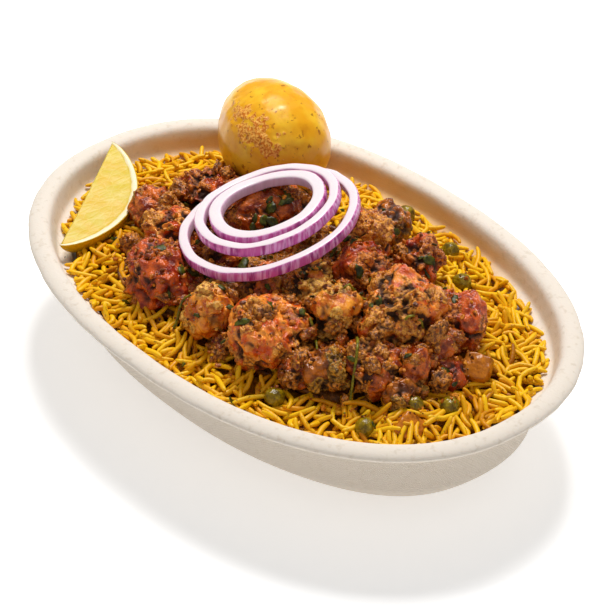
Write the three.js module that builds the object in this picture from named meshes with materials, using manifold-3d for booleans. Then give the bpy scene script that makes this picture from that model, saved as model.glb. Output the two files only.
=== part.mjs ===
// A filled biryani bowl: an oval moulded-fibre bowl, a mound of basmati rice, a heap of chicken
// pieces in thick masala, a boiled egg, a lemon wedge, three onion rings, peas and diced carrot.
// Millimetres, +Z up. The origin is the bottom centre of the bowl, and +X runs along its long axis.
import * as THREE from 'three';
import { mergeVertices } from 'three/addons/utils/BufferGeometryUtils.js';
import Module from 'manifold-3d';

const wasm = await Module();
wasm.setup();

// Driving dimensions.
const GAP = 0.35; // clearance left between touching pieces
const BOWL = {
  halfLength: 115,
  halfWidth: 80,
  height: 45,
  wall: 1.5,
  squareness: 2.2, // power of the oval: 2 is an ellipse
  endFill: 5.2, // how much further out the foot reaches at the two ends
  heel: 15.7, // height at which the rounded heel meets the wall
  heelInset: 17.8,
  footInset: 38.8,
  liningInset: 19.4, // inner face at the height of the heel
  floorInset: 40,
  sides: 44,
};
const RICE = { edgeInset: 15.8, edgeHeight: 34.6, rise: 9.5, swell: 1.1 };
const BED = {
  centre: [4, -9],
  halfLength: 79,
  halfWidth: 42,
  turn: 0.1,
  depth: 6.5,
  foot: 20, // height of its flat underside before the rice is cut away
  sides: 24,
};
const EGG = {
  centre: [-58.8, 39.2, 57.8],
  halfLength: 27,
  halfWidth: 20.8,
  narrowing: 0.14, // share by which the girth changes from the middle to an end
  turn: 2.76,
  dip: 0.05,
};

// Finishes of the pieces.
const FINISH = {
  fibre: { color: 0xece6dc, roughness: 0.85, metalness: 0 },
  rice: { color: 0xd2a02c, roughness: 0.5, metalness: 0 },
  masala: { color: 0x6e3d16, roughness: 0.4, metalness: 0 },
  chicken: { color: 0xa5501f, roughness: 0.45, metalness: 0 },
  egg: { color: 0xe3b040, roughness: 0.4, metalness: 0 },
  lemon: { color: 0xf0dd6a, roughness: 0.35, metalness: 0 },
  onion: { color: 0xd9b8d0, roughness: 0.35, metalness: 0 },
  pea: { color: 0x7c7a28, roughness: 0.4, metalness: 0 },
  carrot: { color: 0xc86a1c, roughness: 0.45, metalness: 0 },
};

const biryani = new THREE.Group();

// ---- Solids: from a geometry to a closed solid for cutting, and back to a named mesh ----

function toSolid(geometry) {
  const bare = geometry.clone();
  bare.deleteAttribute('normal');
  bare.deleteAttribute('uv');
  const merged = mergeVertices(bare, 1e-4);
  return new wasm.Manifold(new wasm.Mesh({
    numProp: 3,
    vertProperties: new Float32Array(merged.attributes.position.array),
    triVerts: new Uint32Array(merged.index.array),
  }));
}

function toGeometry(solid) {
  const mesh = solid.getMesh();
  const geometry = new THREE.BufferGeometry();
  geometry.setAttribute('position', new THREE.BufferAttribute(mesh.vertProperties, 3));
  geometry.setIndex(new THREE.BufferAttribute(mesh.triVerts, 1));
  geometry.computeVertexNormals();
  return geometry;
}

function largestPiece(solid) {
  return solid.decompose().sort((a, b) => b.volume() - a.volume())[0];
}

function addPiece(name, geometry, finish) {
  const mesh = new THREE.Mesh(geometry, new THREE.MeshStandardMaterial(finish));
  mesh.name = name;
  biryani.add(mesh);
}

// Skin over a stack of rings with the same number of points. A stack that doesn't close on
// itself runs from one end point to another, each joined to its ring by a fan.
function skin(rings, ends = null) {
  const count = rings[0].length;
  const points = rings.flat().concat(ends ?? []);
  const index = [];
  const bands = ends ? rings.length - 1 : rings.length;
  for (let j = 0; j < bands; j += 1) {
    const low = j * count;
    const high = ((j + 1) % rings.length) * count;
    for (let i = 0; i < count; i += 1) {
      const next = (i + 1) % count;
      index.push(low + i, low + next, high + next);
      index.push(low + i, high + next, high + i);
    }
  }
  if (ends) {
    const first = rings.length * count;
    const last = (rings.length - 1) * count;
    for (let i = 0; i < count; i += 1) {
      const next = (i + 1) % count;
      index.push(first, next, i);
      index.push(last + i, last + next, first + 1);
    }
  }
  const geometry = new THREE.BufferGeometry().setFromPoints(points);
  geometry.setIndex(index);
  geometry.computeVertexNormals();
  return geometry;
}

// ---- Bowl: an oval swept round a wall profile ----

// The oval is a superellipse. The inset takes the same amount off both half-axes, except that
// the foot reaches a little further out at the two ends than at the sides.
function ovalPoint(turn, inset, z) {
  const power = 2 / BOWL.squareness;
  const c = Math.cos(turn);
  const s = Math.sin(turn);
  const fillTop = BOWL.height - 12;
  const endFill = BOWL.endFill * Math.max(0, 1 - z / fillTop);
  return new THREE.Vector3(
    (BOWL.halfLength - inset + endFill) * Math.sign(c) * Math.abs(c) ** power,
    (BOWL.halfWidth - inset) * Math.sign(s) * Math.abs(s) ** power,
    z,
  );
}

function ovalRing(inset, z) {
  return Array.from({ length: BOWL.sides }, (_, i) =>
    ovalPoint((i / BOWL.sides) * 2 * Math.PI, inset, z));
}

// Wall profile as inset and height: rounded heel, sloping wall, a step out to the ledge, the
// upright above it, the flange with its turned-down lip, and the inner face back down.
function bowlProfile() {
  const top = BOWL.height;
  const path = new THREE.Path();
  path.moveTo(BOWL.footInset, 0);
  path.quadraticCurveTo(33.5, 0, BOWL.heelInset, BOWL.heel);
  path.lineTo(13.4, top - 11.6);
  path.lineTo(9.7, top - 10);
  path.lineTo(7.2, top - 2.4);
  path.lineTo(0.9, top - 3.4);
  path.lineTo(0, top - 2.2);
  path.quadraticCurveTo(0.8, top, 5, top);
  path.quadraticCurveTo(8.4, top, 8.7, top - 2.2);
  path.lineTo(10.8, top - 9);
  path.lineTo(14.6, top - 10.2);
  path.lineTo(15.4, top - 11.2);
  path.lineTo(BOWL.liningInset, BOWL.heel);
  path.quadraticCurveTo(34.5, BOWL.wall, BOWL.floorInset, BOWL.wall);
  return path.getPoints(2);
}

function makeBowl() {
  const rings = bowlProfile().map((p) => ovalRing(p.x, p.y));
  const ends = [new THREE.Vector3(0, 0, 0), new THREE.Vector3(0, 0, BOWL.wall)];
  addPiece('bowl', skin(rings, ends), FINISH.fibre);
}

// ---- Rice: a low mound that fills the bowl, with uneven swells on top ----

function riceTop(x, y) {
  const reachX = x / (BOWL.halfLength - RICE.edgeInset);
  const reachY = y / (BOWL.halfWidth - RICE.edgeInset);
  const mound = RICE.rise * Math.max(0, 1 - reachX ** 2 - reachY ** 2);
  const swells = Math.sin(x / 9 + 1) * Math.cos(y / 8) + 0.7 * Math.sin(x / 5.5 + y / 6.5);
  return RICE.edgeHeight + mound + RICE.swell * swells;
}

// The top surface over the oval, as rings shrinking to the middle.
function riceTopRings() {
  const shrink = [1, 0.92, 0.79, 0.62, 0.42, 0.21];
  return shrink.map((s) => ovalRing(RICE.edgeInset, BOWL.height).map((p) =>
    new THREE.Vector3(p.x * s, p.y * s, riceTop(p.x * s, p.y * s))));
}

function riceSolid() {
  const floor = BOWL.wall + GAP;
  const path = new THREE.Path();
  path.moveTo(BOWL.floorInset, floor);
  path.quadraticCurveTo(34.5, floor, BOWL.liningInset + 1.4 * GAP, BOWL.heel + GAP);
  const sides = path.getPoints(2).map((p) => ovalRing(p.x, p.y));
  const ends = [new THREE.Vector3(0, 0, floor), new THREE.Vector3(0, 0, riceTop(0, 0))];
  return toSolid(skin([...sides, ...riceTopRings()], ends));
}

// Everything below the rice surface, raised by the gap: what lies on the rice is cut by this.
function belowRice() {
  const raised = riceTopRings().map((ring) => ring.map((p) => p.clone().setZ(p.z + GAP)));
  const foot = ovalRing(RICE.edgeInset, BOWL.height).map((p) => p.setZ(0));
  const ends = [new THREE.Vector3(0, 0, 0), new THREE.Vector3(0, 0, riceTop(0, 0) + GAP)];
  return toSolid(skin([foot, ...raised], ends));
}

// ---- Masala bed: the thick gravy that the chicken lies in ----

function bedSolid(grow) {
  const turn = new THREE.Matrix4().makeRotationZ(BED.turn);
  const shrink = [1, 0.86, 0.6, 0.3];
  const point = (angle, s, z) => {
    const ragged = 1 + 0.06 * Math.sin(5 * angle) + 0.05 * Math.sin(8 * angle + 1);
    const reach = s * ragged;
    const p = new THREE.Vector3(
      (BED.halfLength + grow) * reach * Math.cos(angle),
      (BED.halfWidth + grow) * reach * Math.sin(angle),
      0,
    ).applyMatrix4(turn);
    p.x += BED.centre[0];
    p.y += BED.centre[1];
    return p.setZ(z ?? riceTop(p.x, p.y) + BED.depth * Math.sqrt(1 - 0.98 * s * s) + grow
      + 0.9 * Math.sin(p.x / 4) * Math.sin(p.y / 5));
  };
  const ring = (s, z) => Array.from({ length: BED.sides }, (_, i) =>
    point((i / BED.sides) * 2 * Math.PI, s, z));
  const ends = [point(0, 0, BED.foot), point(0, 0)];
  return toSolid(skin([ring(1, BED.foot), ...shrink.map((s) => ring(s))], ends));
}

// ---- Lumps: a rounded box or ball with a few low waves over it ----

// The radius in a direction is that of a rounded box of the given squareness, times the waves.
function lump({ at, size, turn = [0, 0, 0], squareness, waves, seed = 0, base }, grow) {
  const geometry = base.clone();
  const position = geometry.attributes.position;
  const pose = new THREE.Matrix4().makeRotationFromEuler(new THREE.Euler(...turn));
  const d = new THREE.Vector3();
  for (let i = 0; i < position.count; i += 1) {
    d.fromBufferAttribute(position, i).normalize();
    const box = (Math.abs(d.x) ** squareness + Math.abs(d.y) ** squareness
      + Math.abs(d.z) ** squareness) ** (-1 / squareness);
    const swell = Math.sin(3.1 * d.x + seed) * Math.sin(2.7 * d.y + 2 * seed)
      + 0.7 * Math.sin(5.3 * d.z + 3.7 * d.x + 3 * seed)
      + 0.5 * Math.sin(6.1 * d.y - 4.3 * d.z + seed);
    const radius = box * (1 + waves * swell);
    d.multiply(new THREE.Vector3(...size.map((half) => half * radius + grow)));
    d.applyMatrix4(pose);
    position.setXYZ(i, d.x + at[0], d.y + at[1], d.z + at[2]);
  }
  return toSolid(geometry);
}

// ---- Egg: an ellipsoid that narrows towards one end, lying on the rice ----

function eggSolid(grow) {
  const geometry = new THREE.SphereGeometry(1, 18, 11);
  const position = geometry.attributes.position;
  const tilt = new THREE.Euler(0, -EGG.dip, EGG.turn, 'ZYX');
  const pose = new THREE.Matrix4().makeRotationFromEuler(tilt);
  const p = new THREE.Vector3();
  for (let i = 0; i < position.count; i += 1) {
    p.fromBufferAttribute(position, i);
    const along = p.y;
    const narrow = 1 - EGG.narrowing * along;
    p.set(
      along * (EGG.halfLength + grow),
      p.z * narrow * (EGG.halfWidth + grow),
      p.x * narrow * (EGG.halfWidth + grow),
    );
    p.applyMatrix4(pose);
    position.setXYZ(i, p.x + EGG.centre[0], p.y + EGG.centre[1], p.z + EGG.centre[2]);
  }
  return toSolid(geometry);
}

// ---- Lemon wedge: a sixth of a lemon, leaning on the inside of the rim ----

const LEMON = {
  lowTip: new THREE.Vector3(-71, -53.5, 42.5),
  highTip: new THREE.Vector3(-103.5, -2.5, 50),
  radius: 18.8,
  fullness: 0.62, // power of the sine that the radius follows from tip to tip
  faceDrop: 0.12, // how far the upper cut face leans down towards the middle of the bowl
  span: 1.15, // angle between the two cut faces
};

function lemonSolid(grow) {
  const along = LEMON.highTip.clone().sub(LEMON.lowTip);
  const axis = along.clone().normalize();
  const inward = new THREE.Vector3(0, 0, 1).cross(axis).normalize().negate();
  const down = inward.clone().cross(axis).normalize();
  if (down.z > 0) down.negate();
  const stations = 13;
  const arcPoints = 6;
  const rings = [];
  for (let j = 1; j < stations; j += 1) {
    const s = j / stations;
    const radius = LEMON.radius * Math.sin(Math.PI * s) ** LEMON.fullness + 2.5 * grow;
    const ridge = LEMON.lowTip.clone().addScaledVector(along, s)
      .addScaledVector(inward, -grow).addScaledVector(down, -grow);
    const ring = [ridge];
    for (let k = 0; k <= arcPoints; k += 1) {
      const angle = LEMON.faceDrop + (LEMON.span * k) / arcPoints;
      ring.push(ridge.clone().addScaledVector(inward, radius * Math.cos(angle))
        .addScaledVector(down, radius * Math.sin(angle)));
    }
    rings.push(ring);
  }
  return toSolid(skin(rings, [
    LEMON.lowTip.clone().addScaledVector(axis, -3 * grow),
    LEMON.highTip.clone().addScaledVector(axis, 3 * grow),
  ]));
}

// ---- Onion rings: three rings of one slice, the inner ones pushed up out of the outer ----

const ONION = {
  centre: new THREE.Vector3(-10.5, -5, 63),
  normal: new THREE.Vector3(-0.23, -0.165, 0.96).normalize(),
  thickness: 6.2,
  sides: 28,
  rings: [
    { radius: 33.8, band: 4, lift: 0, aside: 0, oval: 0.012 },
    { radius: 27.2, band: 4.2, lift: 5.9, aside: 1, oval: 0.01 },
    { radius: 21.9, band: 5.2, lift: 6.7, aside: 1.3, oval: 0.01 },
  ],
};

function onionSolid({ radius, band, lift, aside, oval }, grow) {
  const pose = new THREE.Matrix4().makeRotationFromQuaternion(
    new THREE.Quaternion().setFromUnitVectors(new THREE.Vector3(0, 0, 1), ONION.normal));
  pose.setPosition(ONION.centre.clone().addScaledVector(ONION.normal, lift)
    .add(new THREE.Vector3(0.7 * aside, 0.7 * aside, 0)));
  const half = ONION.thickness / 2 + grow;
  const section = [
    [radius + grow, -half],
    [radius + 0.1 + grow, 0],
    [radius - 0.7 + grow, half],
    [radius - band - 0.2 - grow, half],
    [radius - band + 0.2 - grow, 0],
    [radius - band + 0.1 - grow, -half],
  ];
  const rings = Array.from({ length: ONION.sides }, (_, i) => {
    const angle = -(i / ONION.sides) * 2 * Math.PI;
    const out = 1 + oval * Math.cos(2 * angle + 0.6);
    const wave = 0.5 * Math.sin(2 * angle) + 0.3 * Math.sin(3 * angle + radius);
    return section.map(([r, z]) =>
      new THREE.Vector3(r * out * Math.cos(angle), r * out * Math.sin(angle), z + wave)
        .applyMatrix4(pose));
  });
  return toSolid(skin(rings));
}

// ---- Chicken: torn chunks heaped in the middle. Half-sizes, place and turn of each ----

const CHUNK = {
  growth: 1.06, // all the chunks' half-sizes are taken this much larger
  squareness: 2.9,
  waves: 0.075,
  largeFrom: 11.3, // a chunk with a half-size over this has a finer skin
};

const CHICKEN = [
  { at: [52, -1, 55.5], size: [12, 15, 12.5], turn: [0.2, 0.5, 0.5] },
  { at: [25, -36, 49], size: [13.5, 12, 10.5], turn: [0.1, 0.2, 0.7] },
  { at: [-28, -39.5, 46], size: [12, 11.5, 10], turn: [0.2, -0.2, 0.3] },
  { at: [-24, 8, 53], size: [16, 11.2, 9], turn: [0.1, 0.1, 0.9] },
  { at: [38, -16, 54], size: [8.5, 10, 11.5], turn: [0.3, 0.1, 0.2] },
  { at: [26.5, 5, 57], size: [8.5, 9, 8.5], turn: [0, 0.4, 0.1] },
  { at: [14, 20, 57.5], size: [8.5, 9, 8], turn: [0.3, 0, 0.6] },
  { at: [18, -12, 54.5], size: [8.5, 9.5, 9], turn: [0.2, 0.3, 1.2] },
  { at: [63, 17.5, 48], size: [9, 9.5, 10.5], turn: [0.1, 0.3, 0.8] },
  { at: [1, -41, 45], size: [8.5, 9, 11.5], turn: [0.4, 0.1, 0.4] },
  { at: [-45, -20, 46.5], size: [9.5, 10, 8], turn: [0.1, 0.2, 0.5] },
  { at: [-64, -14, 43.5], size: [8.5, 9, 7.5], turn: [0.2, 0.1, 1.3] },
  { at: [-57, 8, 45.5], size: [12, 9.5, 8], turn: [0.1, 0.2, 0.6] },
  { at: [60.5, -21, 47.5], size: [9, 9.5, 8.5], turn: [0.3, 0.2, 0.1] },
  { at: [50, -31, 45.5], size: [8.5, 8, 8.5], turn: [0.1, 0.4, 0.9] },
  { at: [29, 31, 49], size: [8, 8.5, 8.5], turn: [0.2, 0.3, 0.4] },
  { at: [67.5, -10, 46], size: [8, 8, 7], turn: [0.5, 0.1, 0.2] },
  { at: [75.5, 0.5, 43], size: [6, 6.5, 4.8], turn: [0.2, 0.1, 0.9] },
  { at: [73.5, -18.5, 42.5], size: [7.5, 6.5, 5.5], turn: [0.1, 0.3, 0.3] },
  { at: [41, -39, 42.5], size: [6.5, 6.5, 6.5], turn: [0.3, 0.1, 0.6] },
  { at: [9, -21, 50], size: [9, 9, 8], turn: [0.2, 0.4, 0.2] },
  { at: [-20, -20, 48], size: [9, 8.5, 8], turn: [0.1, 0.1, 0.8] },
  { at: [4, 40, 49], size: [7.5, 7.5, 7.5], turn: [0.4, 0.2, 0.1] },
  { at: [67, 3.5, 48], size: [6.5, 7, 7.5], turn: [0.2, 0.3, 0.5] },
].map((piece, i) => ({
  ...piece,
  size: piece.size.map((half) => half * CHUNK.growth),
  squareness: CHUNK.squareness,
  waves: CHUNK.waves,
  seed: 1.7 * i + 0.4,
  base: new THREE.IcosahedronGeometry(1, piece.size[1] > CHUNK.largeFrom ? 2 : 1),
}));

// ---- Peas and carrot dice, half sunk in the rice or lying on it ----

const PEA = { size: Array(3).fill(3.8), squareness: 2, waves: 0.03 };
const DIE = { size: Array(3).fill(10.5 / 2), squareness: 7, waves: 0.01 };

const PEAS = [
  [-4, 58, 41.5], [79, -19, 41], [86, -9, 40], [74, -37, 38], [43, -50, 39], [22, 55.5, 39.5],
  [39, 44.5, 40],
];

const CARROTS = [
  { at: [79.5, 11, 41.5], turn: [0.5, 0.3, 0.4] },
  { at: [83, -26, 36.5], turn: [0.2, 0.7, 0.3] },
];

function pieceNumber(i) {
  return String(i + 1).padStart(2, '0');
}

// ---- Putting it together: each piece is cut by what was placed before it ----

function makeFood() {
  const ball = new THREE.IcosahedronGeometry(1, 1);
  const cube = new THREE.BoxGeometry(1, 1, 1, 2, 2, 2);
  const grown = [eggSolid(GAP), lemonSolid(GAP)];
  addPiece('egg', toGeometry(eggSolid(0)), FINISH.egg);
  addPiece('lemon_wedge', toGeometry(lemonSolid(0)), FINISH.lemon);
  ONION.rings.forEach((ring, i) => {
    grown.push(onionSolid(ring, GAP));
    addPiece(`onion_ring_${i + 1}`, toGeometry(onionSolid(ring, 0)), FINISH.onion);
  });

  PEAS.forEach((at, i) => {
    const pea = { ...PEA, at, seed: i, base: ball };
    addPiece(`pea_${i + 1}`, toGeometry(lump(pea, 0)), FINISH.pea);
    grown.push(lump(pea, GAP));
  });
  CARROTS.forEach((place, i) => {
    const die = { ...DIE, ...place, base: cube };
    addPiece(`carrot_${i + 1}`, toGeometry(lump(die, 0)), FINISH.carrot);
    grown.push(lump(die, GAP));
  });

  const sunk = wasm.Manifold.union(grown);
  addPiece('rice', toGeometry(largestPiece(riceSolid().subtract(sunk))), FINISH.rice);

  let taken = wasm.Manifold.union([sunk, belowRice()]);
  const bed = largestPiece(bedSolid(0).subtract(taken));
  addPiece('masala', toGeometry(bed), FINISH.masala);
  taken = taken.add(bedSolid(GAP));

  CHICKEN.forEach((spec, i) => {
    const chunk = largestPiece(lump(spec, 0).subtract(taken));
    addPiece(`chicken_${pieceNumber(i)}`, toGeometry(chunk), FINISH.chicken);
    taken = taken.add(lump(spec, GAP));
  });
}

makeBowl();
makeFood();

export default biryani;
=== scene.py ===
"""The looks of a filled biryani bowl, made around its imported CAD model.

The bowl, the rice, the masala, the chicken, the egg, the lemon, the onion, the peas and the
carrot are each a class with its sizes as fields. Shapes are worked out in millimetres with
numpy as surfaces on grids, and become meshes in metres at the end. Where a shape follows a CAD
node, its place and size come from that node.
"""

import logging
import math
from dataclasses import dataclass
from enum import Enum

import bpy
import numpy as np
from mathutils import Matrix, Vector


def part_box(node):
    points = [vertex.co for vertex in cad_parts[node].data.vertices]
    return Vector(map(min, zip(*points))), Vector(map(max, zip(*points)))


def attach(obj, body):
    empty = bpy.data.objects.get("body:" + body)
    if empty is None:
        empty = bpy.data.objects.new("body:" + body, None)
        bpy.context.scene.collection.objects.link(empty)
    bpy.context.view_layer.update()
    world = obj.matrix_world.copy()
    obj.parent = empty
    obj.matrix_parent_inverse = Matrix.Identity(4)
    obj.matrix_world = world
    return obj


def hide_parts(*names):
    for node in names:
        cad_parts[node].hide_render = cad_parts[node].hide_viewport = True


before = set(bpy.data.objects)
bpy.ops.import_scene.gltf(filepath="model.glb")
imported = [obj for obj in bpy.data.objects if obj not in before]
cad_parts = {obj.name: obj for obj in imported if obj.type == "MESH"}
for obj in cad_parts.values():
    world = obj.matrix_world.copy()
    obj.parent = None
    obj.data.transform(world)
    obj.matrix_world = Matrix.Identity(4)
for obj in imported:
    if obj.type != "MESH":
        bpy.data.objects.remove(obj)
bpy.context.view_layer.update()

MM = 0.001  # metres in a millimetre: shapes are worked out in millimetres
BODY = "root"
log = logging.getLogger("biryani")

Array = np.ndarray


# ---------------------------------------------------------------------------------------------
# Colours and shader maths
# ---------------------------------------------------------------------------------------------


def tint(red: float, green: float, blue: float) -> tuple[float, float, float, float]:
    """Turns a display colour into the linear one that shaders use.

    Args:
        red, green, blue: the display colour, 0 to 255.

    Returns:
        The linear colour with full alpha.
    """
    linear = [
        c / 12.92 if c <= 0.04045 else ((c + 0.055) / 1.055) ** 2.4
        for c in (red / 255, green / 255, blue / 255)
    ]
    return (*linear, 1.0)


class Socket:
    """An output of a shader node, which adds Math nodes when it is used in a sum or product."""

    def __init__(self, graph: "Graph", output: bpy.types.NodeSocket | None) -> None:
        """Wraps one output of a node in its graph, or none for the material's last node."""
        self.graph = graph
        self.output = output

    def _math(self, operation: str, *values: "Socket | float", clamp: bool = False) -> "Socket":
        """Adds one Math node over the given values and returns its result."""
        settings = {"operation": operation, "use_clamp": clamp}
        return self.graph.node("ShaderNodeMath", settings, *values)

    def __add__(self, other: "Socket | float") -> "Socket":
        """This value plus another."""
        return self._math("ADD", self, other)

    __radd__ = __add__

    def __sub__(self, other: "Socket | float") -> "Socket":
        """This value less another."""
        return self._math("SUBTRACT", self, other)

    def __rsub__(self, other: "Socket | float") -> "Socket":
        """Another value less this one."""
        return self._math("SUBTRACT", other, self)

    def __mul__(self, other: "Socket | float") -> "Socket":
        """This value times another."""
        return self._math("MULTIPLY", self, other)

    __rmul__ = __mul__

    def clamped(self) -> "Socket":
        """This value kept between 0 and 1."""
        return self._math("ADD", self, 0.0, clamp=True)

    def sine(self) -> "Socket":
        """The sine of this value in radians."""
        return self._math("SINE", self)

    def over(self, low: float, high: float) -> "Socket":
        """A smooth step: 0 below low, 1 above high.

        Args:
            low: where the step starts.
            high: where it ends. It may be less than low, for a step down.

        Returns:
            The step, from 0 to 1.
        """
        settings = {"interpolation_type": "SMOOTHSTEP"}
        if high < low:
            return 1.0 - self.over(high, low)
        return self.graph.node("ShaderNodeMapRange", settings, self, low, high, 0.0, 1.0)


class Graph:
    """The node tree of one material, with a method that adds any node."""

    def __init__(self, name: str) -> None:
        """Makes an empty material.

        Args:
            name: the material's name.
        """
        self.material = bpy.data.materials.new(name)
        self.material.use_nodes = True
        self.tree = self.material.node_tree
        self.tree.nodes.clear()

    def node(
        self,
        kind: str,
        settings: dict[str, object] | None = None,
        *values: object,
        result: str | int = 0,
        **named: object,
    ) -> Socket:
        """Adds a node, sets its settings, then fills its sockets.

        Args:
            kind: the node's type, such as ShaderNodeMath.
            settings: its attributes. "stops" is a ramp's list of positions and colours.
            values: numbers, colours or links for its inputs in order. None skips one.
            result: the output that is returned.
            named: inputs by name, with underscores for spaces.

        Returns:
            The chosen output.
        """
        node = self.tree.nodes.new(kind)
        for key, value in (settings or {}).items():
            if key == "stops":
                self._set_stops(node.color_ramp, value)
            else:
                setattr(node, key, value)
        for index, value in enumerate(values):
            self._fill(node.inputs[index], value)
        for key, value in named.items():
            self._fill(node.inputs[key.replace("_", " ")], value)
        return Socket(self, node.outputs[result] if node.outputs else None)

    @staticmethod
    def _set_stops(ramp: bpy.types.ColorRamp, stops: list[tuple[float, tuple]]) -> None:
        """Gives a colour ramp its stops.

        Args:
            ramp: the ramp.
            stops: the position and colour of each stop.
        """
        while len(ramp.elements) < len(stops):
            ramp.elements.new(1.0)
        for element, (position, colour) in zip(ramp.elements, stops):
            element.position = position
            element.color = colour

    def _fill(self, socket: bpy.types.NodeSocket, value: object) -> None:
        """Links a Socket to an input, or sets the input to a number or colour.

        Args:
            socket: the input.
            value: what it gets, or None to leave it as it is.
        """
        if isinstance(value, Socket):
            self.tree.links.new(value.output, socket)
        elif value is not None:
            socket.default_value = value

    def place(self) -> Socket:
        """The piece's own coordinates, in metres."""
        return self.node("ShaderNodeTexCoord", result="Object")

    def attribute(self, name: str) -> Socket:
        """A number kept on each point of the mesh."""
        return self.node("ShaderNodeAttribute", {"attribute_name": name}, result="Fac")

    def noise(self, size: float, detail: float = 3.0, where: Socket | None = None) -> Socket:
        """Soft cloudy noise from 0 to 1.

        Args:
            size: the size of a cloud in mm.
            detail: how many finer octaves it has.
            where: the coordinates, or the piece's own where None.

        Returns:
            The noise value.
        """
        vector = where or self.place()
        return self.node(
            "ShaderNodeTexNoise", {"noise_dimensions": "3D"},
            Vector=vector, Scale=1 / (size * MM), Detail=detail,
        )

    def cells(self, size: float, where: Socket | None, feature: str) -> Socket:
        """Distance to the nearest of many scattered points, or to the edge between two.

        Args:
            size: the spacing of the points in mm.
            where: the coordinates, or the piece's own where None.
            feature: SMOOTH_F1 or DISTANCE_TO_EDGE.

        Returns:
            The distance, in spacings.
        """
        vector = where or self.place()
        return self.node(
            "ShaderNodeTexVoronoi", {"feature": feature}, Vector=vector, Scale=1 / (size * MM),
            result="Distance",
        )

    def stretched(self, x: float, y: float, z: float) -> Socket:
        """The piece's coordinates, scaled along each axis."""
        return self.node("ShaderNodeMapping", None, self.place(), Scale=(x, y, z))

    def ramp(self, fac: Socket, *stops: tuple[float, tuple]) -> Socket:
        """A colour that runs through the stops as fac goes from 0 to 1."""
        return self.node("ShaderNodeValToRGB", {"stops": list(stops)}, fac)

    def mix(self, fac: Socket | float, first: object, second: object) -> Socket:
        """A colour between two colours.

        Args:
            fac: 0 for the first, 1 for the second.
            first: a colour or a link.
            second: a colour or a link.

        Returns:
            The mixed colour.
        """
        settings = {"data_type": "RGBA"}
        number_and_vector_inputs = [None] * 5
        return self.node(
            "ShaderNodeMix", settings, fac, *number_and_vector_inputs, first, second, result=2
        )

    def bump(self, height: Socket, depth: float, strength: float) -> Socket:
        """A normal tilted by a height.

        Args:
            height: the height, in units of depth.
            depth: how high 1 is, in mm.
            strength: how much of it is used.

        Returns:
            The normal.
        """
        return self.node(
            "ShaderNodeBump", None, Strength=strength, Distance=depth * MM, Height=height,
        )

    def surface(self, **inputs: object) -> bpy.types.Material:
        """Ends the graph in a Principled shader with these inputs.

        Args:
            inputs: the shader's inputs by name, with underscores for spaces.

        Returns:
            The finished material.
        """
        shader = self.node("ShaderNodeBsdfPrincipled", None, **inputs)
        self.node("ShaderNodeOutputMaterial", None, shader)
        return self.material


# ---------------------------------------------------------------------------------------------
# Numbers over surfaces
# ---------------------------------------------------------------------------------------------


def smooth(value: Array | float, low: float, high: float) -> Array:
    """A smooth step: 3t^2 - 2t^3 where t is how far the value is from low to high."""
    t = np.clip((value - low) / (high - low), 0.0, 1.0)
    return t * t * (3 - 2 * t)


def unit(vectors: Array) -> Array:
    """Each vector divided by its length."""
    return vectors / np.linalg.norm(vectors, axis=-1, keepdims=True)


def scatter_value(cells: Array, seed: int) -> Array:
    """A number from 0 to 1 for each whole-number cell, the same each run.

    Args:
        cells: whole-number cell coordinates, with x, y, z last.
        seed: picks one of many such fields.

    Returns:
        One number for each cell, from mixing its coordinates' bits.
    """
    mask = np.uint64(0xFFFFFFFF)
    c = cells.astype(np.int64).astype(np.uint64) & mask
    mixed = (c[..., 0] * np.uint64(73856093)) ^ (c[..., 1] * np.uint64(19349663))
    mixed = (mixed ^ (c[..., 2] * np.uint64(83492791)) ^ np.uint64(seed * 2654435761 % 2**32)) & mask
    for multiplier in (0x85EBCA6B, 0xC2B2AE35):
        mixed = ((mixed ^ (mixed >> np.uint64(15))) * np.uint64(multiplier)) & mask
    return ((mixed ^ (mixed >> np.uint64(16))) & np.uint64(0xFFFFFF)) / float(0xFFFFFF)


def cloud(points: Array, size: float, seed: int) -> Array:
    """Soft noise from -1 to 1: random values on a lattice, blended smoothly between corners.

    Args:
        points: places in mm, with x, y, z last.
        size: the lattice spacing in mm.
        seed: picks one of many such fields.

    Returns:
        One value for each point.
    """
    scaled = points / size
    base = np.floor(scaled)
    t = scaled - base
    t = t * t * (3 - 2 * t)
    total = np.zeros(points.shape[:-1])
    for corner in np.ndindex(2, 2, 2):
        side = np.array(corner)
        weight = np.prod(np.where(side, t, 1 - t), axis=-1)
        total += weight * scatter_value(base + side, seed)
    return 2 * total - 1


def cloud_vectors(points: Array, size: float, seeds: tuple[int, int, int]) -> Array:
    """Three fields of soft noise, taken together as one vector at each point."""
    return np.stack([cloud(points, size, seed) for seed in seeds], -1)


def grains_field(points: Array, size: float, seed: int) -> Array:
    """Distance to the nearest of many scattered points, in spacings.

    Args:
        points: places in mm, with x, y, z last.
        size: the spacing of the scattered points in mm.
        seed: picks one of many such fields.

    Returns:
        The distance for each point, 0 at a scattered point.
    """
    scaled = points / size
    base = np.floor(scaled)
    best = np.full(points.shape[:-1], 9.0)
    for offset in np.ndindex(3, 3, 3):
        cell = base + np.array(offset) - 1
        jitter = np.stack([scatter_value(cell, seed + k) for k in (0, 1, 2)], axis=-1)
        best = np.minimum(best, ((cell + jitter - scaled) ** 2).sum(axis=-1))
    return np.sqrt(best)


# ---------------------------------------------------------------------------------------------
# Meshes
# ---------------------------------------------------------------------------------------------


@dataclass
class Surface:
    """A closed surface in mm, with numbers kept on its points."""

    points: Array
    faces: Array
    marks: dict[str, Array]


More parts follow.
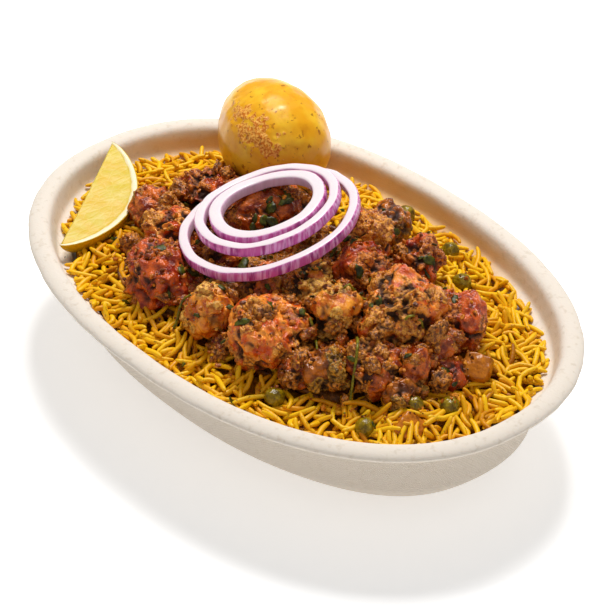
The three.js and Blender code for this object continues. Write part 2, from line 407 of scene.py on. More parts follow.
def tube_faces(rows: int, columns: int) -> Array:
    """Faces of a tube of rows of points, closed at both ends by a single point.

    Args:
        rows: how many rings there are.
        columns: how many points a ring has.

    Returns:
        Triangles. Ring points come first, row by row, then the first and last end points.
    """
    i = np.arange(columns)
    nxt = (i + 1) % columns
    start = np.arange(rows - 1)[:, None] * columns
    low, low_next = start + i, start + nxt
    high, high_next = low + columns, low_next + columns
    sides = np.concatenate([
        np.stack([low, low_next, high_next], -1).reshape(-1, 3),
        np.stack([low, high_next, high], -1).reshape(-1, 3),
    ])
    first, last = rows * columns, (rows - 1) * columns
    caps = np.concatenate([
        np.stack([np.full(columns, first), nxt, i], -1),
        np.stack([last + i, last + nxt, np.full(columns, first + 1)], -1),
    ])
    return np.concatenate([sides, caps])


def ring_faces(rows: int, columns: int) -> Array:
    """Faces of a grid that closes on itself both ways, as on a ring-shaped tube.

    Args:
        rows: how many sections there are round the ring.
        columns: how many points a section has.

    Returns:
        Triangles.
    """
    i, j = np.meshgrid(np.arange(rows), np.arange(columns), indexing="ij")
    a = i * columns + j
    b = i * columns + (j + 1) % columns
    c = ((i + 1) % rows) * columns + (j + 1) % columns
    d = ((i + 1) % rows) * columns + j
    return np.concatenate([
        np.stack([a, b, c], -1).reshape(-1, 3),
        np.stack([a, c, d], -1).reshape(-1, 3),
    ])


def ball_grid(n: int) -> tuple[Array, Array]:
    """Directions spread over a ball, and the faces between them.

    The grid lies on a cube with n steps along an edge. Each step is an equal angle, and the
    seams between the cube's faces share their points.

    Args:
        n: steps along an edge of the cube.

    Returns:
        Unit directions, and triangles with their front sides out.
    """
    a, b = np.meshgrid(np.arange(n + 1), np.arange(n + 1), indexing="ij")
    corners = []
    quads = []
    for axis in range(3):
        for side in (0, n):
            lattice = np.zeros((n + 1, n + 1, 3), int)
            lattice[..., axis] = side
            lattice[..., (axis + 1) % 3] = a
            lattice[..., (axis + 2) % 3] = b
            index = np.arange((n + 1) ** 2).reshape(n + 1, n + 1) + len(corners) * (n + 1) ** 2
            quad = np.stack([index[:-1, :-1], index[1:, :-1], index[1:, 1:], index[:-1, 1:]], -1)
            quads.append((quad if side else quad[..., ::-1]).reshape(-1, 4))
            corners.append(lattice.reshape(-1, 3))
    lattice = np.concatenate(corners)
    code = (lattice[:, 0] * (n + 1) + lattice[:, 1]) * (n + 1) + lattice[:, 2]
    _, keep, where = np.unique(code, return_index=True, return_inverse=True)
    quads = where.ravel()[np.concatenate(quads)]
    angle = (lattice[keep] / n - 0.5) * (math.pi / 2)
    return unit(np.tan(angle)), np.concatenate([quads[:, [0, 1, 2]], quads[:, [0, 2, 3]]])


def build_piece(
    name: str, surface: Surface, material: bpy.types.Material, replaces: tuple[str, ...] = (),
    rounded: bool = True,
) -> bpy.types.Object:
    """Turns a surface into a Blender object that stands for its CAD nodes.

    Args:
        name: the piece's name.
        surface: its shape in mm, with any numbers that its material reads.
        material: its finish.
        replaces: the CAD nodes that it stands for.
        rounded: whether its faces are shaded as one smooth surface.

    Returns:
        The object, at the origin, riding on the body.
    """
    mesh = bpy.data.meshes.new(name)
    count, faces = len(surface.points), len(surface.faces)
    corners = surface.faces.shape[1]
    mesh.vertices.add(count)
    mesh.vertices.foreach_set("co", (surface.points * MM).astype(np.float32).ravel())
    mesh.loops.add(faces * corners)
    mesh.loops.foreach_set("vertex_index", surface.faces.astype(np.int32).ravel())
    mesh.polygons.add(faces)
    mesh.polygons.foreach_set("loop_start", np.arange(faces, dtype=np.int32) * corners)
    mesh.polygons.foreach_set("use_smooth", np.full(faces, rounded))
    for key, values in surface.marks.items():
        layer = mesh.attributes.new(key, "FLOAT", "POINT")
        layer.data.foreach_set("value", values.astype(np.float32))
    mesh.update()
    mesh.validate()
    mesh.materials.append(material)
    piece = bpy.data.objects.new(name, mesh)
    bpy.context.scene.collection.objects.link(piece)
    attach(piece, BODY)
    if replaces:
        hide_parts(*replaces)
    log.info("%s: %d triangles", name, faces)
    return piece


class Node:
    """A CAD node's shape, in mm."""

    def __init__(self, name: str) -> None:
        """Reads the node's points and triangles from the frame."""
        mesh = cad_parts[name].data
        co = np.empty(len(mesh.vertices) * 3, np.float32)
        mesh.vertices.foreach_get("co", co)
        self.points = co.reshape(-1, 3).astype(float) / MM
        mesh.calc_loop_triangles()
        index = np.empty(len(mesh.loop_triangles) * 3, np.int32)
        mesh.loop_triangles.foreach_get("vertices", index)
        self.triangles = self.points[index.reshape(-1, 3)]
        self.low, self.high = self.points.min(0), self.points.max(0)
        a, b, c = np.swapaxes(self.triangles, 0, 1)
        area = np.linalg.norm(np.cross(b - a, c - a), axis=1)
        self.centre = (area[:, None] * (a + b + c)).sum(0) / (3 * area.sum())

    def axes(self) -> Array:
        """The node's main directions.

        Returns:
            Three unit rows, from the longest way across it to the shortest.
        """
        spread = self.points - self.points.mean(0)
        _, vectors = np.linalg.eigh(spread.T @ spread)
        return vectors.T[::-1]

    def reach(self, centre: Array, directions: Array) -> Array:
        """How far the node's surface is from a point inside it, along each direction.

        Each ray meets each triangle where three dot products with the ray say that the place is
        within its edges, and the farthest such place counts.

        Args:
            centre: the point inside.
            directions: unit directions, one a row.

        Returns:
            The distance along each direction.
        """
        v0, v1, v2 = np.swapaxes(self.triangles, 0, 1)
        e1, e2, away = v1 - v0, v2 - v0, centre - v0
        q = np.cross(away, e1)
        det = -directions @ np.cross(e1, e2).T
        det = np.where(np.abs(det) < 1e-9, 1e-9, det)
        u = directions @ np.cross(e2, away).T / det
        v = directions @ q.T / det
        t = (e2 * q).sum(1) / det
        inside = (u > -1e-3) & (v > -1e-3) & (u + v < 1.002) & (t > 0)
        return np.where(inside, t, 0.0).max(1)

    def samples(self, rng: np.random.Generator, spacing: float) -> Array:
        """Points spread over its surface by chance.

        Args:
            rng: where the chances come from.
            spacing: the side in mm of a square that has about one point in it.

        Returns:
            The points.
        """
        a, b, c = np.swapaxes(self.triangles, 0, 1)
        area = np.linalg.norm(np.cross(b - a, c - a), axis=1) / 2
        count = int(area.sum() / spacing**2)
        pick = rng.choice(len(area), count, p=area / area.sum())
        u, v = rng.random((2, count))
        flip = u + v > 1
        u[flip], v[flip] = 1 - u[flip], 1 - v[flip]
        return a[pick] + u[:, None] * (b - a)[pick] + v[:, None] * (c - a)[pick]


class Terrain:
    """The height of what lies in the bowl, over a square grid in mm."""

    EMPTY = -99.0  # the height of a cell that nothing covers
    STEEPEST = 1.2  # the most that a slope counts for, as rise over run

    def __init__(self, half_length: float, half_width: float, cell: float = 0.4) -> None:
        """Makes an empty grid that covers the bowl.

        Args:
            half_length: how far it runs to each side along x.
            half_width: how far it runs to each side along y.
            cell: the side of a cell.
        """
        self.cell = cell
        self.origin = np.array([-half_length, -half_width])
        shape = np.ceil(-2 * self.origin / cell).astype(int) + 1
        self.height = np.full(shape, self.EMPTY)

    def index(self, xy: Array) -> tuple[Array, Array]:
        """The grid cell of each place, or the nearest one if the place is off the grid.

        Args:
            xy: the places.

        Returns:
            The cells' numbers along x and along y.
        """
        cell = np.rint((xy - self.origin) / self.cell).astype(int)
        cell = np.clip(cell, 0, np.array(self.height.shape) - 1)
        return cell[..., 0], cell[..., 1]

    def add(self, points: Array) -> None:
        """Raises the grid to the points that stand above it."""
        i, j = self.index(points[..., :2])
        np.maximum.at(self.height, (i.ravel(), j.ravel()), points[..., 2].ravel())

    def fill(self) -> None:
        """Fills single empty cells from the cells around them."""
        h = self.height
        padded = np.pad(h, 1, constant_values=self.EMPTY)
        near = [
            padded[1 + a:1 + a + h.shape[0], 1 + b:1 + b + h.shape[1]]
            for a in (-1, 0, 1) for b in (-1, 0, 1)
        ]
        self.height = np.where(h < self.EMPTY / 2, np.max(near, axis=0), h)

    def at(self, xy: Array) -> Array:
        """The height at each place."""
        return self.height[self.index(xy)]

    def dip(self, xy: Array, step: float) -> Array:
        """How far each place is below the mean of the four places a step away from it."""
        around = [self.at(xy + offset) for offset in ((step, 0), (-step, 0), (0, step), (0, -step))]
        return np.mean(around, axis=0) - self.at(xy)

    def raise_round(self, spot: Array, reach: float, rise: float) -> None:
        """Raises the cells of a small square.

        Args:
            spot: the square's middle.
            reach: half its side.
            rise: how much its cells are raised.
        """
        i, j = self.index(spot)
        span = int(reach / self.cell)
        self.height[max(i - span, 0):i + span + 1, max(j - span, 0):j + span + 1] += rise

    def copy(self) -> "Terrain":
        """Copies the grid.

        Returns:
            A grid of its own with the same heights.
        """
        twin = Terrain(-self.origin[0], -self.origin[1], self.cell)
        twin.height = self.height.copy()
        return twin

    def slope(self, xy: Array, step: float = 1.5) -> Array:
        """The upward direction square to the ground.

        Args:
            xy: the places.
            step: how far to each side the rise is taken.

        Returns:
            A unit direction for each place.
        """
        dx, dy = np.array([step, 0.0]), np.array([0.0, step])
        rise_x = (self.at(xy + dx) - self.at(xy - dx)) / (2 * step)
        rise_y = (self.at(xy + dy) - self.at(xy - dy)) / (2 * step)
        lean = np.stack([-rise_x, -rise_y], -1).clip(-self.STEEPEST, self.STEEPEST)
        return unit(np.concatenate([lean, np.ones((len(xy), 1))], axis=1))


def relaxed(points: Array, faces: Array, passes: int) -> Array:
    """Moves each point halfway to the mean of its neighbours, over and over.

    Args:
        points: the surface's points.
        faces: its triangles.
        passes: how many times they move.

    Returns:
        The smoothed points, stretched back to the box that they filled.
    """
    a = faces[:, [0, 1, 2]].ravel()
    b = faces[:, [1, 2, 0]].ravel()
    count = np.bincount(a, minlength=len(points))[:, None]
    moved = points
    for _ in range(passes):
        total = np.stack(
            [np.bincount(a, moved[b, k], minlength=len(points)) for k in range(3)], -1
        )
        moved = (moved + total / count) / 2
    low, high = moved.min(0), moved.max(0)
    return points.min(0) + (moved - low) * (np.ptp(points, axis=0) / (high - low))


def normals_of(points: Array, faces: Array) -> Array:
    """The outward direction at each point: the sum of its faces' cross products.

    Args:
        points: the surface's points.
        faces: its triangles.

    Returns:
        A unit direction for each point.
    """
    a, b, c = (points[faces[:, k]] for k in range(3))
    square = np.cross(b - a, c - a)
    total = np.zeros_like(points)
    for corner in range(3):
        for k in range(3):
            total[:, k] += np.bincount(faces[:, corner], square[:, k], minlength=len(points))
    return unit(total)


def skin_over(node: Node, steps: int, passes: int) -> tuple[Array, Array]:
    """A fine, even skin over a CAD node that can be seen whole from its middle.

    Each point is the middle plus a direction times the node's reach that way.

    Args:
        node: the CAD node.
        steps: steps along an edge of the cube that the directions come from.
        passes: how many times the skin is relaxed, to take the facets away.

    Returns:
        Points and triangles.
    """
    directions, faces = ball_grid(steps)
    half = (node.high - node.low) / 2
    rays = unit(directions * half)
    reach = node.reach(node.centre, rays)
    return relaxed(node.centre + rays * reach[:, None], faces, passes), faces


def tubes(paths: Array, thickness: Array, sides: int) -> tuple[Array, Array]:
    """Closed tubes carried along many paths at once.

    A point is P(t) + r(t) (a cos q + b sin q), with a and b square to the path.

    Args:
        paths: paths x stations x 3, in mm.
        thickness: the radius at each station of each path.
        sides: points round a tube.

    Returns:
        Points and triangles of all the tubes.
    """
    count, rows, _ = paths.shape
    along = unit(np.gradient(paths, axis=1))
    nearly_up = np.array([0.02, 0.01, 1.0])  # a little off, as no path runs quite along it
    a = unit(np.cross(along, nearly_up))
    b = np.cross(along, a)
    q = np.arange(sides) / sides * 2 * math.pi
    around = a[:, :, None] * np.cos(q)[:, None] + b[:, :, None] * np.sin(q)[:, None]
    rings = paths[:, :, None] + around * thickness[:, :, None, None]
    ends = paths[:, [0, -1]] + along[:, [0, -1]] * (
        np.array([-0.5, 0.5])[None, :, None] * thickness[:, [0, -1], None]
    )
    points = np.concatenate([rings.reshape(count, -1, 3), ends], axis=1)
    faces = tube_faces(rows, sides)[None] + np.arange(count)[:, None, None] * points.shape[1]
    return points.reshape(-1, 3), faces.reshape(-1, 3)


# ---------------------------------------------------------------------------------------------
# Finishes
# ---------------------------------------------------------------------------------------------


@dataclass(frozen=True)
class PulpFinish:
    """Moulded pulp: warm off-white fibre with the print of a woven screen on its outside."""

    colour: tuple = tint(228, 217, 203)
    speck: tuple = tint(204, 188, 166)
    # partly a real turmeric oil stain, partly painted golden bounce light and shade from the rice
    oil_and_bounce: tuple = tint(216, 168, 84)
    # painted shade: the outside of the wall is drawn darker, for the shade that it stands in
    shade: tuple = tint(204, 190, 172)
    thread: float = 1.15  # mm between the threads of the screen
    print_depth: float = 0.10  # mm

    def material(self) -> bpy.types.Material:
        """Builds the material, whose UV map is in mm round and up the wall.

        Returns:
            The material.
        """
        g = Graph("fibre")
        wall = g.node("ShaderNodeUVMap", {"uv_map": "wall"})
        across = g.node("ShaderNodeSeparateXYZ", None, wall, result="X")
        up = g.node("ShaderNodeSeparateXYZ", None, wall, result="Y")
        pitch = 2 * math.pi / self.thread
        weave = (across * pitch).sine() * (up * pitch).sine()
        long_threads = ((across + up * 0.35) * (pitch / 2)).sine() * 0.35
        outside = g.attribute("outside")
        fibres = g.noise(0.9, 4.0, g.stretched(1.0, 1.0, 2.2))
        mottle = g.noise(6.0, 3.0)
        height = outside * (weave + long_threads) + fibres * 1.3 + mottle * 0.8
        colour = g.mix(g.noise(2.2, 4.0).over(0.52, 0.74) * 0.5, self.colour, self.speck)
        # oil stain with painted bounce light and shade, on the lining below the rim
        colour = g.mix(g.attribute("oily") * 0.72, colour, self.oil_and_bounce)
        # painted shade over the outside of the wall, where the screen's print is
        colour = g.mix(outside * 0.55, colour, self.shade)
        return g.surface(
            Base_Color=colour, Roughness=0.82, Specular_IOR_Level=0.25,
            Subsurface_Weight=0.12, Subsurface_Radius=(0.9, 0.75, 0.55),
            Subsurface_Scale=2.0 * MM, Normal=g.bump(height, self.print_depth, 0.75),
        )


@dataclass(frozen=True)
class RiceFinish:
    """Oily basmati grains, from bright saffron yellow to brown."""

    light: tuple = tint(244, 192, 16)
    middle: tuple = tint(222, 150, 2)
    dark: tuple = tint(140, 72, 0)
    stain: tuple = tint(92, 42, 2)

    def material(self) -> bpy.types.Material:
        """Builds the material, which reads each grain's tone.

        Returns:
            The material.
        """
        g = Graph("rice")
        tone = g.attribute("tone")
        cloudy = g.noise(2.6, 3.0)
        stained = g.noise(1.3, 4.0).over(0.6, 0.74) * 0.7
        # the low tones are partly painted shade: the core and the grains that lie deep get them
        colour = g.ramp(
            (tone + (cloudy - 0.5) * 0.45).clamped(),
            (0.0, self.dark), (0.32, self.middle), (0.9, self.light),
        )
        colour = g.mix(stained, colour, self.stain)
        return g.surface(
            Base_Color=colour, Roughness=(0.26 + g.noise(0.8) * 0.3), Specular_IOR_Level=0.22,
            Subsurface_Weight=0.12, Subsurface_Radius=(1.0, 0.5, 0.05),
            Subsurface_Scale=0.8 * MM,
            Normal=g.bump(g.noise(0.8, 2.0), 0.2, 0.6),
        )


class Spice(Enum):
    """The looks of the fried chicken pieces: dark and light meat, dark and light crumbs."""

    ORANGE = (tint(206, 72, 6), tint(255, 156, 52), tint(158, 74, 4), tint(250, 170, 60))
    RED = (tint(136, 26, 0), tint(222, 98, 30), tint(136, 52, 2), tint(236, 140, 46))
    BROWN = (tint(126, 36, 0), tint(222, 110, 30), tint(118, 56, 2), tint(226, 144, 46))
    GOLDEN = (tint(196, 84, 6), tint(252, 162, 50), tint(170, 96, 6), tint(255, 194, 84))
    HERBY = (tint(116, 52, 2), tint(206, 116, 28), tint(94, 58, 2), tint(206, 146, 44))


@dataclass(frozen=True)
class FriedFinish:
    """Fried, spiced chicken: smooth oily meat where the crumb coat is gone, crumbs elsewhere."""

    spice: Spice
    # the painted shade in the hollows
    dark: tuple = tint(40, 10, 0)
    herb: tuple = tint(64, 52, 4)

    def material(self) -> bpy.types.Material:
        """Builds the material, which reads the coat's thickness and a place's depth, and paints shade
        in the deep places.

        Returns:
            The material.
        """
        meat_dark, meat_light, crumb_dark, crumb_light = self.spice.value
        g = Graph(f"chicken_{self.spice.name.lower()}")
        coat, depth = g.attribute("coat"), g.attribute("depth")
        flesh = g.mix(g.noise(3.6, 4.0).over(0.36, 0.64), meat_dark, meat_light)
        crumbs = g.mix(g.noise(1.2, 3.0).over(0.34, 0.66), crumb_dark, crumb_light)
        share = (coat + (g.noise(0.9, 2.0) - 0.5) * 0.8).over(0.34, 0.56)
        colour = g.mix(share, flesh, crumbs)
        colour = g.mix(g.noise(4.5, 4.0).over(0.54, 0.7) * 0.4, colour, crumb_dark)
        # painted shade: the deep places are drawn nearly black
        shaded = depth.over(0.48, 0.02)
        colour = g.mix(shaded * 0.95, colour, self.dark)
        herb_flecks = g.noise(1.3, 3.0).over(0.66, 0.71)
        colour = g.mix(herb_flecks * 0.55, colour, self.herb)
        grain = g.noise(0.6, 3.0) * (0.8 + share * 0.6) + g.noise(1.6, 3.0)
        return g.surface(
            Base_Color=colour, Roughness=(0.16 + share * 0.1 + shaded * 0.5),
            Specular_IOR_Level=0.45,
            Subsurface_Weight=0.06, Subsurface_Radius=(1.0, 0.3, 0.05),
            Subsurface_Scale=1.2 * MM,
            Normal=g.bump(grain, 0.45, 0.9),
        )


@dataclass(frozen=True)
class CrumbFinish:
    """Bits of fried onion and spice, with a tone for each bit."""

    name: str
    stops: tuple

    def material(self) -> bpy.types.Material:
        """Builds the material from the tone of each bit and a fine grain.

        Returns:
            The material.
        """
        g = Graph(self.name)
        tone = (g.attribute("tone") * 0.7 + (g.noise(1.3, 3.0) - 0.34) * 0.95).clamped()
        return g.surface(
            Base_Color=g.ramp(tone, *self.stops), Roughness=0.32, Specular_IOR_Level=0.3,
            Normal=g.bump(g.noise(0.7, 3.0), 0.35, 0.8),
        )


# From the tone 0 to the tone 1: for the ground masala, and for the bits that lie on top
BED_STOPS = (
    (0.0, tint(42, 16, 0)), (0.4, tint(104, 54, 6)), (0.75, tint(160, 94, 16)),
    (1.0, tint(200, 130, 30)),
)
BIT_STOPS = (
    (0.0, tint(48, 18, 0)), (0.3, tint(128, 58, 4)), (0.65, tint(198, 110, 20)),
    (1.0, tint(240, 162, 50)),
)


@dataclass(frozen=True)
class EggFinish:
    """An egg fried in turmeric oil: golden, with brown specks and a blistered patch."""

    gold: tuple = tint(236, 166, 14)
    pale: tuple = tint(244, 190, 40)
    deep: tuple = tint(214, 136, 4)
    brown: tuple = tint(150, 70, 4)
    singed: tuple = tint(204, 104, 12)
    flake: tuple = tint(246, 184, 84)

    def material(self) -> bpy.types.Material:
        """Builds the material, which reads where the blistered patch is.

        Returns:
            The material.
        """
        g = Graph("egg")
        blistered = g.attribute("blister")
        colour = g.mix(g.noise(9.0, 3.0).over(0.4, 0.7), self.gold, self.pale)
        colour = g.mix(g.noise(4.0, 5.0).over(0.5, 0.72) * 0.5, colour, self.deep)
        ragged = (blistered + (g.noise(2.0, 5.0) - 0.5) * 2.2).over(0.52, 0.64)
        flecks = g.mix(g.noise(0.8, 3.0).over(0.4, 0.6), self.singed, self.flake)
        colour = g.mix(ragged * 0.9, colour, flecks)
        specks = g.noise(2.3, 4.0).over(0.6, 0.68) * g.noise(9.0).over(0.4, 0.54)
        colour = g.mix(specks * 0.75, colour, self.brown)
        height = g.noise(1.3, 4.0) * (0.15 + ragged * 1.6) + g.noise(5.0) * 0.4
        return g.surface(
            Base_Color=colour, Roughness=(0.3 + blistered * 0.2), Specular_IOR_Level=0.28,
            Subsurface_Weight=0.2, Subsurface_Radius=(1.0, 0.6, 0.15),
            Subsurface_Scale=2.5 * MM,
            Normal=g.bump(height, 0.4, 0.6),
        )


@dataclass(frozen=True)
class LemonFinish:
    """A lemon wedge: juicy flesh, a band of pith and a bright pitted rind."""

    flesh: tuple = tint(214, 188, 56)
    deep_flesh: tuple = tint(218, 180, 34)
    # painted highlight along the edges of the juice cells
    painted_highlight: tuple = tint(250, 234, 160)
    pith: tuple = tint(238, 226, 188)
    rind: tuple = tint(214, 170, 12)
    pith_width: float = 2.6  # mm

    def material(self) -> bpy.types.Material:
        """Builds the material, which reads the distance in mm from the rind.

        Returns:
            The material.
        """
        g = Graph("lemon")
        gap = g.attribute("gap")
        vesicle = g.cells(2.4, g.stretched(1.0, 0.45, 0.8), "DISTANCE_TO_EDGE")
        colour = g.mix(g.noise(8.0).over(0.4, 0.65), self.flesh, self.deep_flesh)
        # painted highlight on the edges of the juice cells
        colour = g.mix(vesicle.over(0.05, 0.01) * 0.12, colour, self.painted_highlight)
        wander = gap + (g.noise(3.0) - 0.5) * 1.2
        flesh_share = wander.over(self.pith_width - 0.5, self.pith_width + 0.4)
        colour = g.mix(flesh_share, self.pith, colour)
        rind_share = gap.over(0.62, 0.3)
        colour = g.mix(rind_share, colour, self.rind)
        pits = g.cells(1.5, None, "SMOOTH_F1").over(0.5, 0.1) * rind_share * -1.0
        height = pits + vesicle.over(0.0, 0.25) * flesh_share * 0.1 + g.noise(1.6) * 0.25
        return g.surface(
            Base_Color=colour, Roughness=0.34, Specular_IOR_Level=0.2,
            Subsurface_Weight=0.3, Subsurface_Radius=(1.0, 0.8, 0.3),
            Subsurface_Scale=2.0 * MM,
            Normal=g.bump(height, 0.35, 0.6),
        )


@dataclass(frozen=True)
class OnionFinish:
    """Red onion: white cut faces, and walls streaked with purple from edge to edge."""

    cut: tuple = tint(240, 226, 228)
    wall: tuple = tint(204, 88, 162)
    streak: tuple = tint(158, 44, 124)
    pale: tuple = tint(230, 164, 212)
    lining: tuple = tint(232, 206, 222)

    def material(self) -> bpy.types.Material:
        """Builds the material, which reads how far a place faces out and up.

        Returns:
            The material.
        """
        g = Graph("onion")
        outward, upward = g.attribute("outward"), g.attribute("upward")
        streaks = g.noise(1.5, 3.0, g.stretched(1.0, 1.0, 0.1))
        wall = g.mix(streaks.over(0.36, 0.6), self.pale, self.wall)
        dark_streaks = g.noise(2.6, 3.0, g.stretched(1.0, 1.0, 0.15))
        wall = g.mix(dark_streaks.over(0.5, 0.68), wall, self.streak)
        inner_wall = g.mix(0.75, wall, self.lining)
        colour = g.mix(outward.over(-0.3, 0.3), inner_wall, wall)
        colour = g.mix(upward.over(0.72, 0.9) * outward.over(0.9, 0.7), colour, self.cut)
        return g.surface(
            Base_Color=colour, Roughness=0.24, Specular_IOR_Level=0.35,
            Subsurface_Weight=0.3, Subsurface_Radius=(1.0, 0.6, 0.8),
            Subsurface_Scale=1.4 * MM,
            Normal=g.bump(streaks, 0.25, 0.5),
        )


@dataclass(frozen=True)
class VegetableFinish:
    """A cooked pea, carrot die or herb: one moist colour that varies a little."""

    name: str
    light: tuple
    dark: tuple
    wrinkle: float  # mm
    roughness: float = 0.32

    def material(self) -> bpy.types.Material:
        """Builds the material from two scales of noise.

        Returns:
            The material.
        """
        g = Graph(self.name)
        mottle = (g.noise(2.4, 4.0) * 0.7 + g.noise(0.8, 2.0) * 0.3).over(0.34, 0.66)
        return g.surface(
            Base_Color=g.mix(mottle, self.dark, self.light), Roughness=self.roughness,
            Specular_IOR_Level=0.3, Subsurface_Weight=0.15,
            Subsurface_Radius=(0.8, 0.7, 0.1), Subsurface_Scale=1.2 * MM,
            Normal=g.bump(g.noise(1.6, 2.0), self.wrinkle, 0.8),
        )


# ---------------------------------------------------------------------------------------------
# The bowl
# ---------------------------------------------------------------------------------------------


@dataclass
class Bowl:
    """An oval moulded bowl with a rolled rim, a step below it and a full round heel.

    A level section is the oval |x/a|^p + |y/b|^p = 1, drawn in from the rim's outline.
    """

    squareness: float = 2.2
    end_fill: float = 5.2  # mm, how much fuller the heel is at the two ends
    heel_height: float = 33.0
    sides: int = 300
    step: float = 0.9  # mm between the points of the section
    rounding: int = 2  # points over which a corner is rounded
    print_depth_from_rim: float = 4.0  # mm from the rim's top down to the screen's print
    dented: tuple = (30, 42)  # mm: the heights over which the dents fade in
    dents: tuple = ((7.0, 0.22), (2.5, 0.10))  # each size of dent as (spacing, depth) in mm
    oil_and_bounce_y: tuple = (-5.0, 35.0)  # mm: where the oil stain and the painted bounce light on the lining fade in along y
    oil_and_bounce_x: tuple = (62.0, 20.0)  # mm: and along x, towards the middle
    finish: PulpFinish = PulpFinish()

    def __post_init__(self) -> None:
        """Reads the rim's half length, half width and height from the CAD bowl."""
        _, high = (np.array(corner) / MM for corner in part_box("bowl"))
        self.half_length, self.half_width, self.height = high

    def oval(self, inset: Array, z: Array, angle: Array) -> Array:
        """Points of the wall.

        Args:
            inset: how far in from the rim's outline, in mm.
            z: the height, in mm.
            angle: the oval's parameter.

        Returns:
            x = (a - inset + fill) sgn(c) |c|^(2/p) and y = (b - inset) sgn(s) |s|^(2/p), where c
            and s are the cosine and sine, and the fill fades from the foot to the heel's top.
        """
        cosine, sine = np.cos(angle), np.sin(angle)
        power = 2 / self.squareness
        fill = self.end_fill * np.clip(1 - z / self.heel_height, 0, None)
        x = (self.half_length - inset + fill) * np.sign(cosine) * np.abs(cosine) ** power
        y = (self.half_width - inset) * np.sign(sine) * np.abs(sine) ** power
        return np.stack([x, y, z + 0 * x], axis=-1)

    def section(self) -> Array:
        """The wall's section, from under the foot, over the rim, to the floor inside.

        Returns:
            Evenly spaced points as (inset, z).
        """
        top = self.height

        def bend(a: tuple, b: tuple, c: tuple) -> list[tuple]:
            """A round corner from a to c that heads for b: (1-t)^2 a + 2t(1-t) b + t^2 c."""
            return [
                tuple((1 - t) ** 2 * np.array(a) + 2 * t * (1 - t) * np.array(b) + t * t * np.array(c))
                for t in np.linspace(0, 1, 12)
            ]

        outline = np.array([
            (self.half_width - 3, 0.0), (60, 0.0),  # under the foot
            *bend((38.8, 0), (33.5, 0), (17.8, 15.7)),  # the heel
            (13.4, 33.4), (9.7, 35), (7.2, top - 2.4), (0.9, top - 3.4),  # the wall, then the step
            *bend((0, top - 2.2), (0.8, top), (5, top)),  # the rim's outer edge
            *bend((5.2, top), (8.4, top), (8.7, top - 2.2)),  # and its inner edge
            (10.8, 36), (14.6, 34.8), (15.4, 33.8),  # the ledge inside
            *bend((19.4, 15.7), (34.5, 1.5), (40, 1.5)),
            (60, 1.5), (self.half_width - 3, 1.5),  # the floor
        ])
        length = np.concatenate([[0], np.cumsum(np.hypot(*np.diff(outline, axis=0).T))])
        even = np.linspace(0, length[-1], int(length[-1] / self.step))
        line = np.stack([np.interp(even, length, outline[:, k]) for k in (0, 1)], axis=1)
        for _ in range(self.rounding):
            line[1:-1] = (line[:-2] + 2 * line[1:-1] + line[2:]) / 4
        return line

    def build(self) -> Surface:
        """Makes the bowl.

        Returns:
            Its surface, for what lies against it.
        """
        line = self.section()
        angle = np.arange(self.sides) / self.sides * 2 * math.pi
        inset, z = line[:, :1], line[:, 1:]
        points = self.oval(inset, z, angle[None])
        rows = len(line)
        flat = points.reshape(-1, 3)
        rim = smooth(flat[:, 2], *self.dented)
        (wide, deep), (narrow, shallow) = self.dents
        push = deep * cloud(flat, wide, 11) * rim + shallow * cloud(flat, narrow, 12) * rim
        top_row = np.argmax(z.ravel())
        printed = z.ravel() < self.height - self.print_depth_from_rim
        outside = np.repeat((np.arange(rows) < top_row) & printed, self.sides)
        level = [flat[:, 0] / self.half_length**2, flat[:, 1] / self.half_width**2, 0 * flat[:, 0]]
        outward = unit(np.stack(level, -1) + 1e-9)
        dent = np.minimum(push, 0)[:, None]
        flat = flat + outward * dent
        ends = np.array([[0, 0, z[0, 0]], [0, 0, z[-1, 0]]])
        faces = tube_faces(rows, self.sides)
        lining = np.repeat(np.arange(rows) > top_row, self.sides)
        wander = 1.6 * cloud(flat, 14.0, 13) + 0.6 * cloud(flat, 4.0, 14)
        # where the lining gets the oil stain and the painted golden bounce light and shade
        oily = lining * smooth(flat[:, 2] + wander, self.height - 1.0, self.height - 5.0)
        oily = oily * smooth(flat[:, 1], *self.oil_and_bounce_y) * smooth(flat[:, 0], *self.oil_and_bounce_x)
        marks = {
            "outside": np.concatenate([outside.astype(float), [1.0, 0.0]]),
            "oily": np.concatenate([oily, [0.0, 1.0]]),
        }
        surface = Surface(np.concatenate([flat, ends]), faces, marks)
        piece = build_piece("bowl_fibre", surface, self.finish.material(), ("bowl",))
        self._unwrap(piece, points, rows)
        return surface

    def _unwrap(self, piece: bpy.types.Object, points: Array, rows: int) -> None:
        """Gives the bowl a UV map in mm: round one row of the wall, and along the section.

        Args:
            piece: the bowl's object.
            points: the wall's points, as rows x sides x 3.
            rows: how many rows it has.
        """
        row_of_wall = points[rows // 3]
        gaps = np.diff(row_of_wall, axis=0, append=row_of_wall[:1])
        around = np.linalg.norm(gaps, axis=1)
        u_of = np.concatenate([[0], np.cumsum(around)])
        mesh = piece.data
        index = np.empty(len(mesh.loops), np.int32)
        mesh.loops.foreach_get("vertex_index", index)
        ring = index < rows * self.sides
        column = np.where(ring, index % self.sides, 0)
        row = np.where(ring, index // self.sides, 0)
        corners = column.reshape(-1, 3)
        wraps = (corners.max(1) - corners.min(1) > self.sides // 2)[:, None] & (corners == 0)
        column = np.where(wraps.ravel(), self.sides, column)
        uv = np.stack([u_of[column], row * self.step], axis=1)
        layer = mesh.uv_layers.new(name="wall")
        layer.data.foreach_set("uv", uv.astype(np.float32).ravel())


# ---------------------------------------------------------------------------------------------
# The chicken
# ---------------------------------------------------------------------------------------------


CHICKEN_SPICE = {
    Spice.ORANGE: (1, 2, 7, 11),
    Spice.RED: (3, 6, 9, 13, 16, 18),
    Spice.BROWN: (4, 12, 14, 17, 20, 21, 22, 24),
    Spice.GOLDEN: (5, 8, 10),
    Spice.HERBY: (15, 19, 23),
}


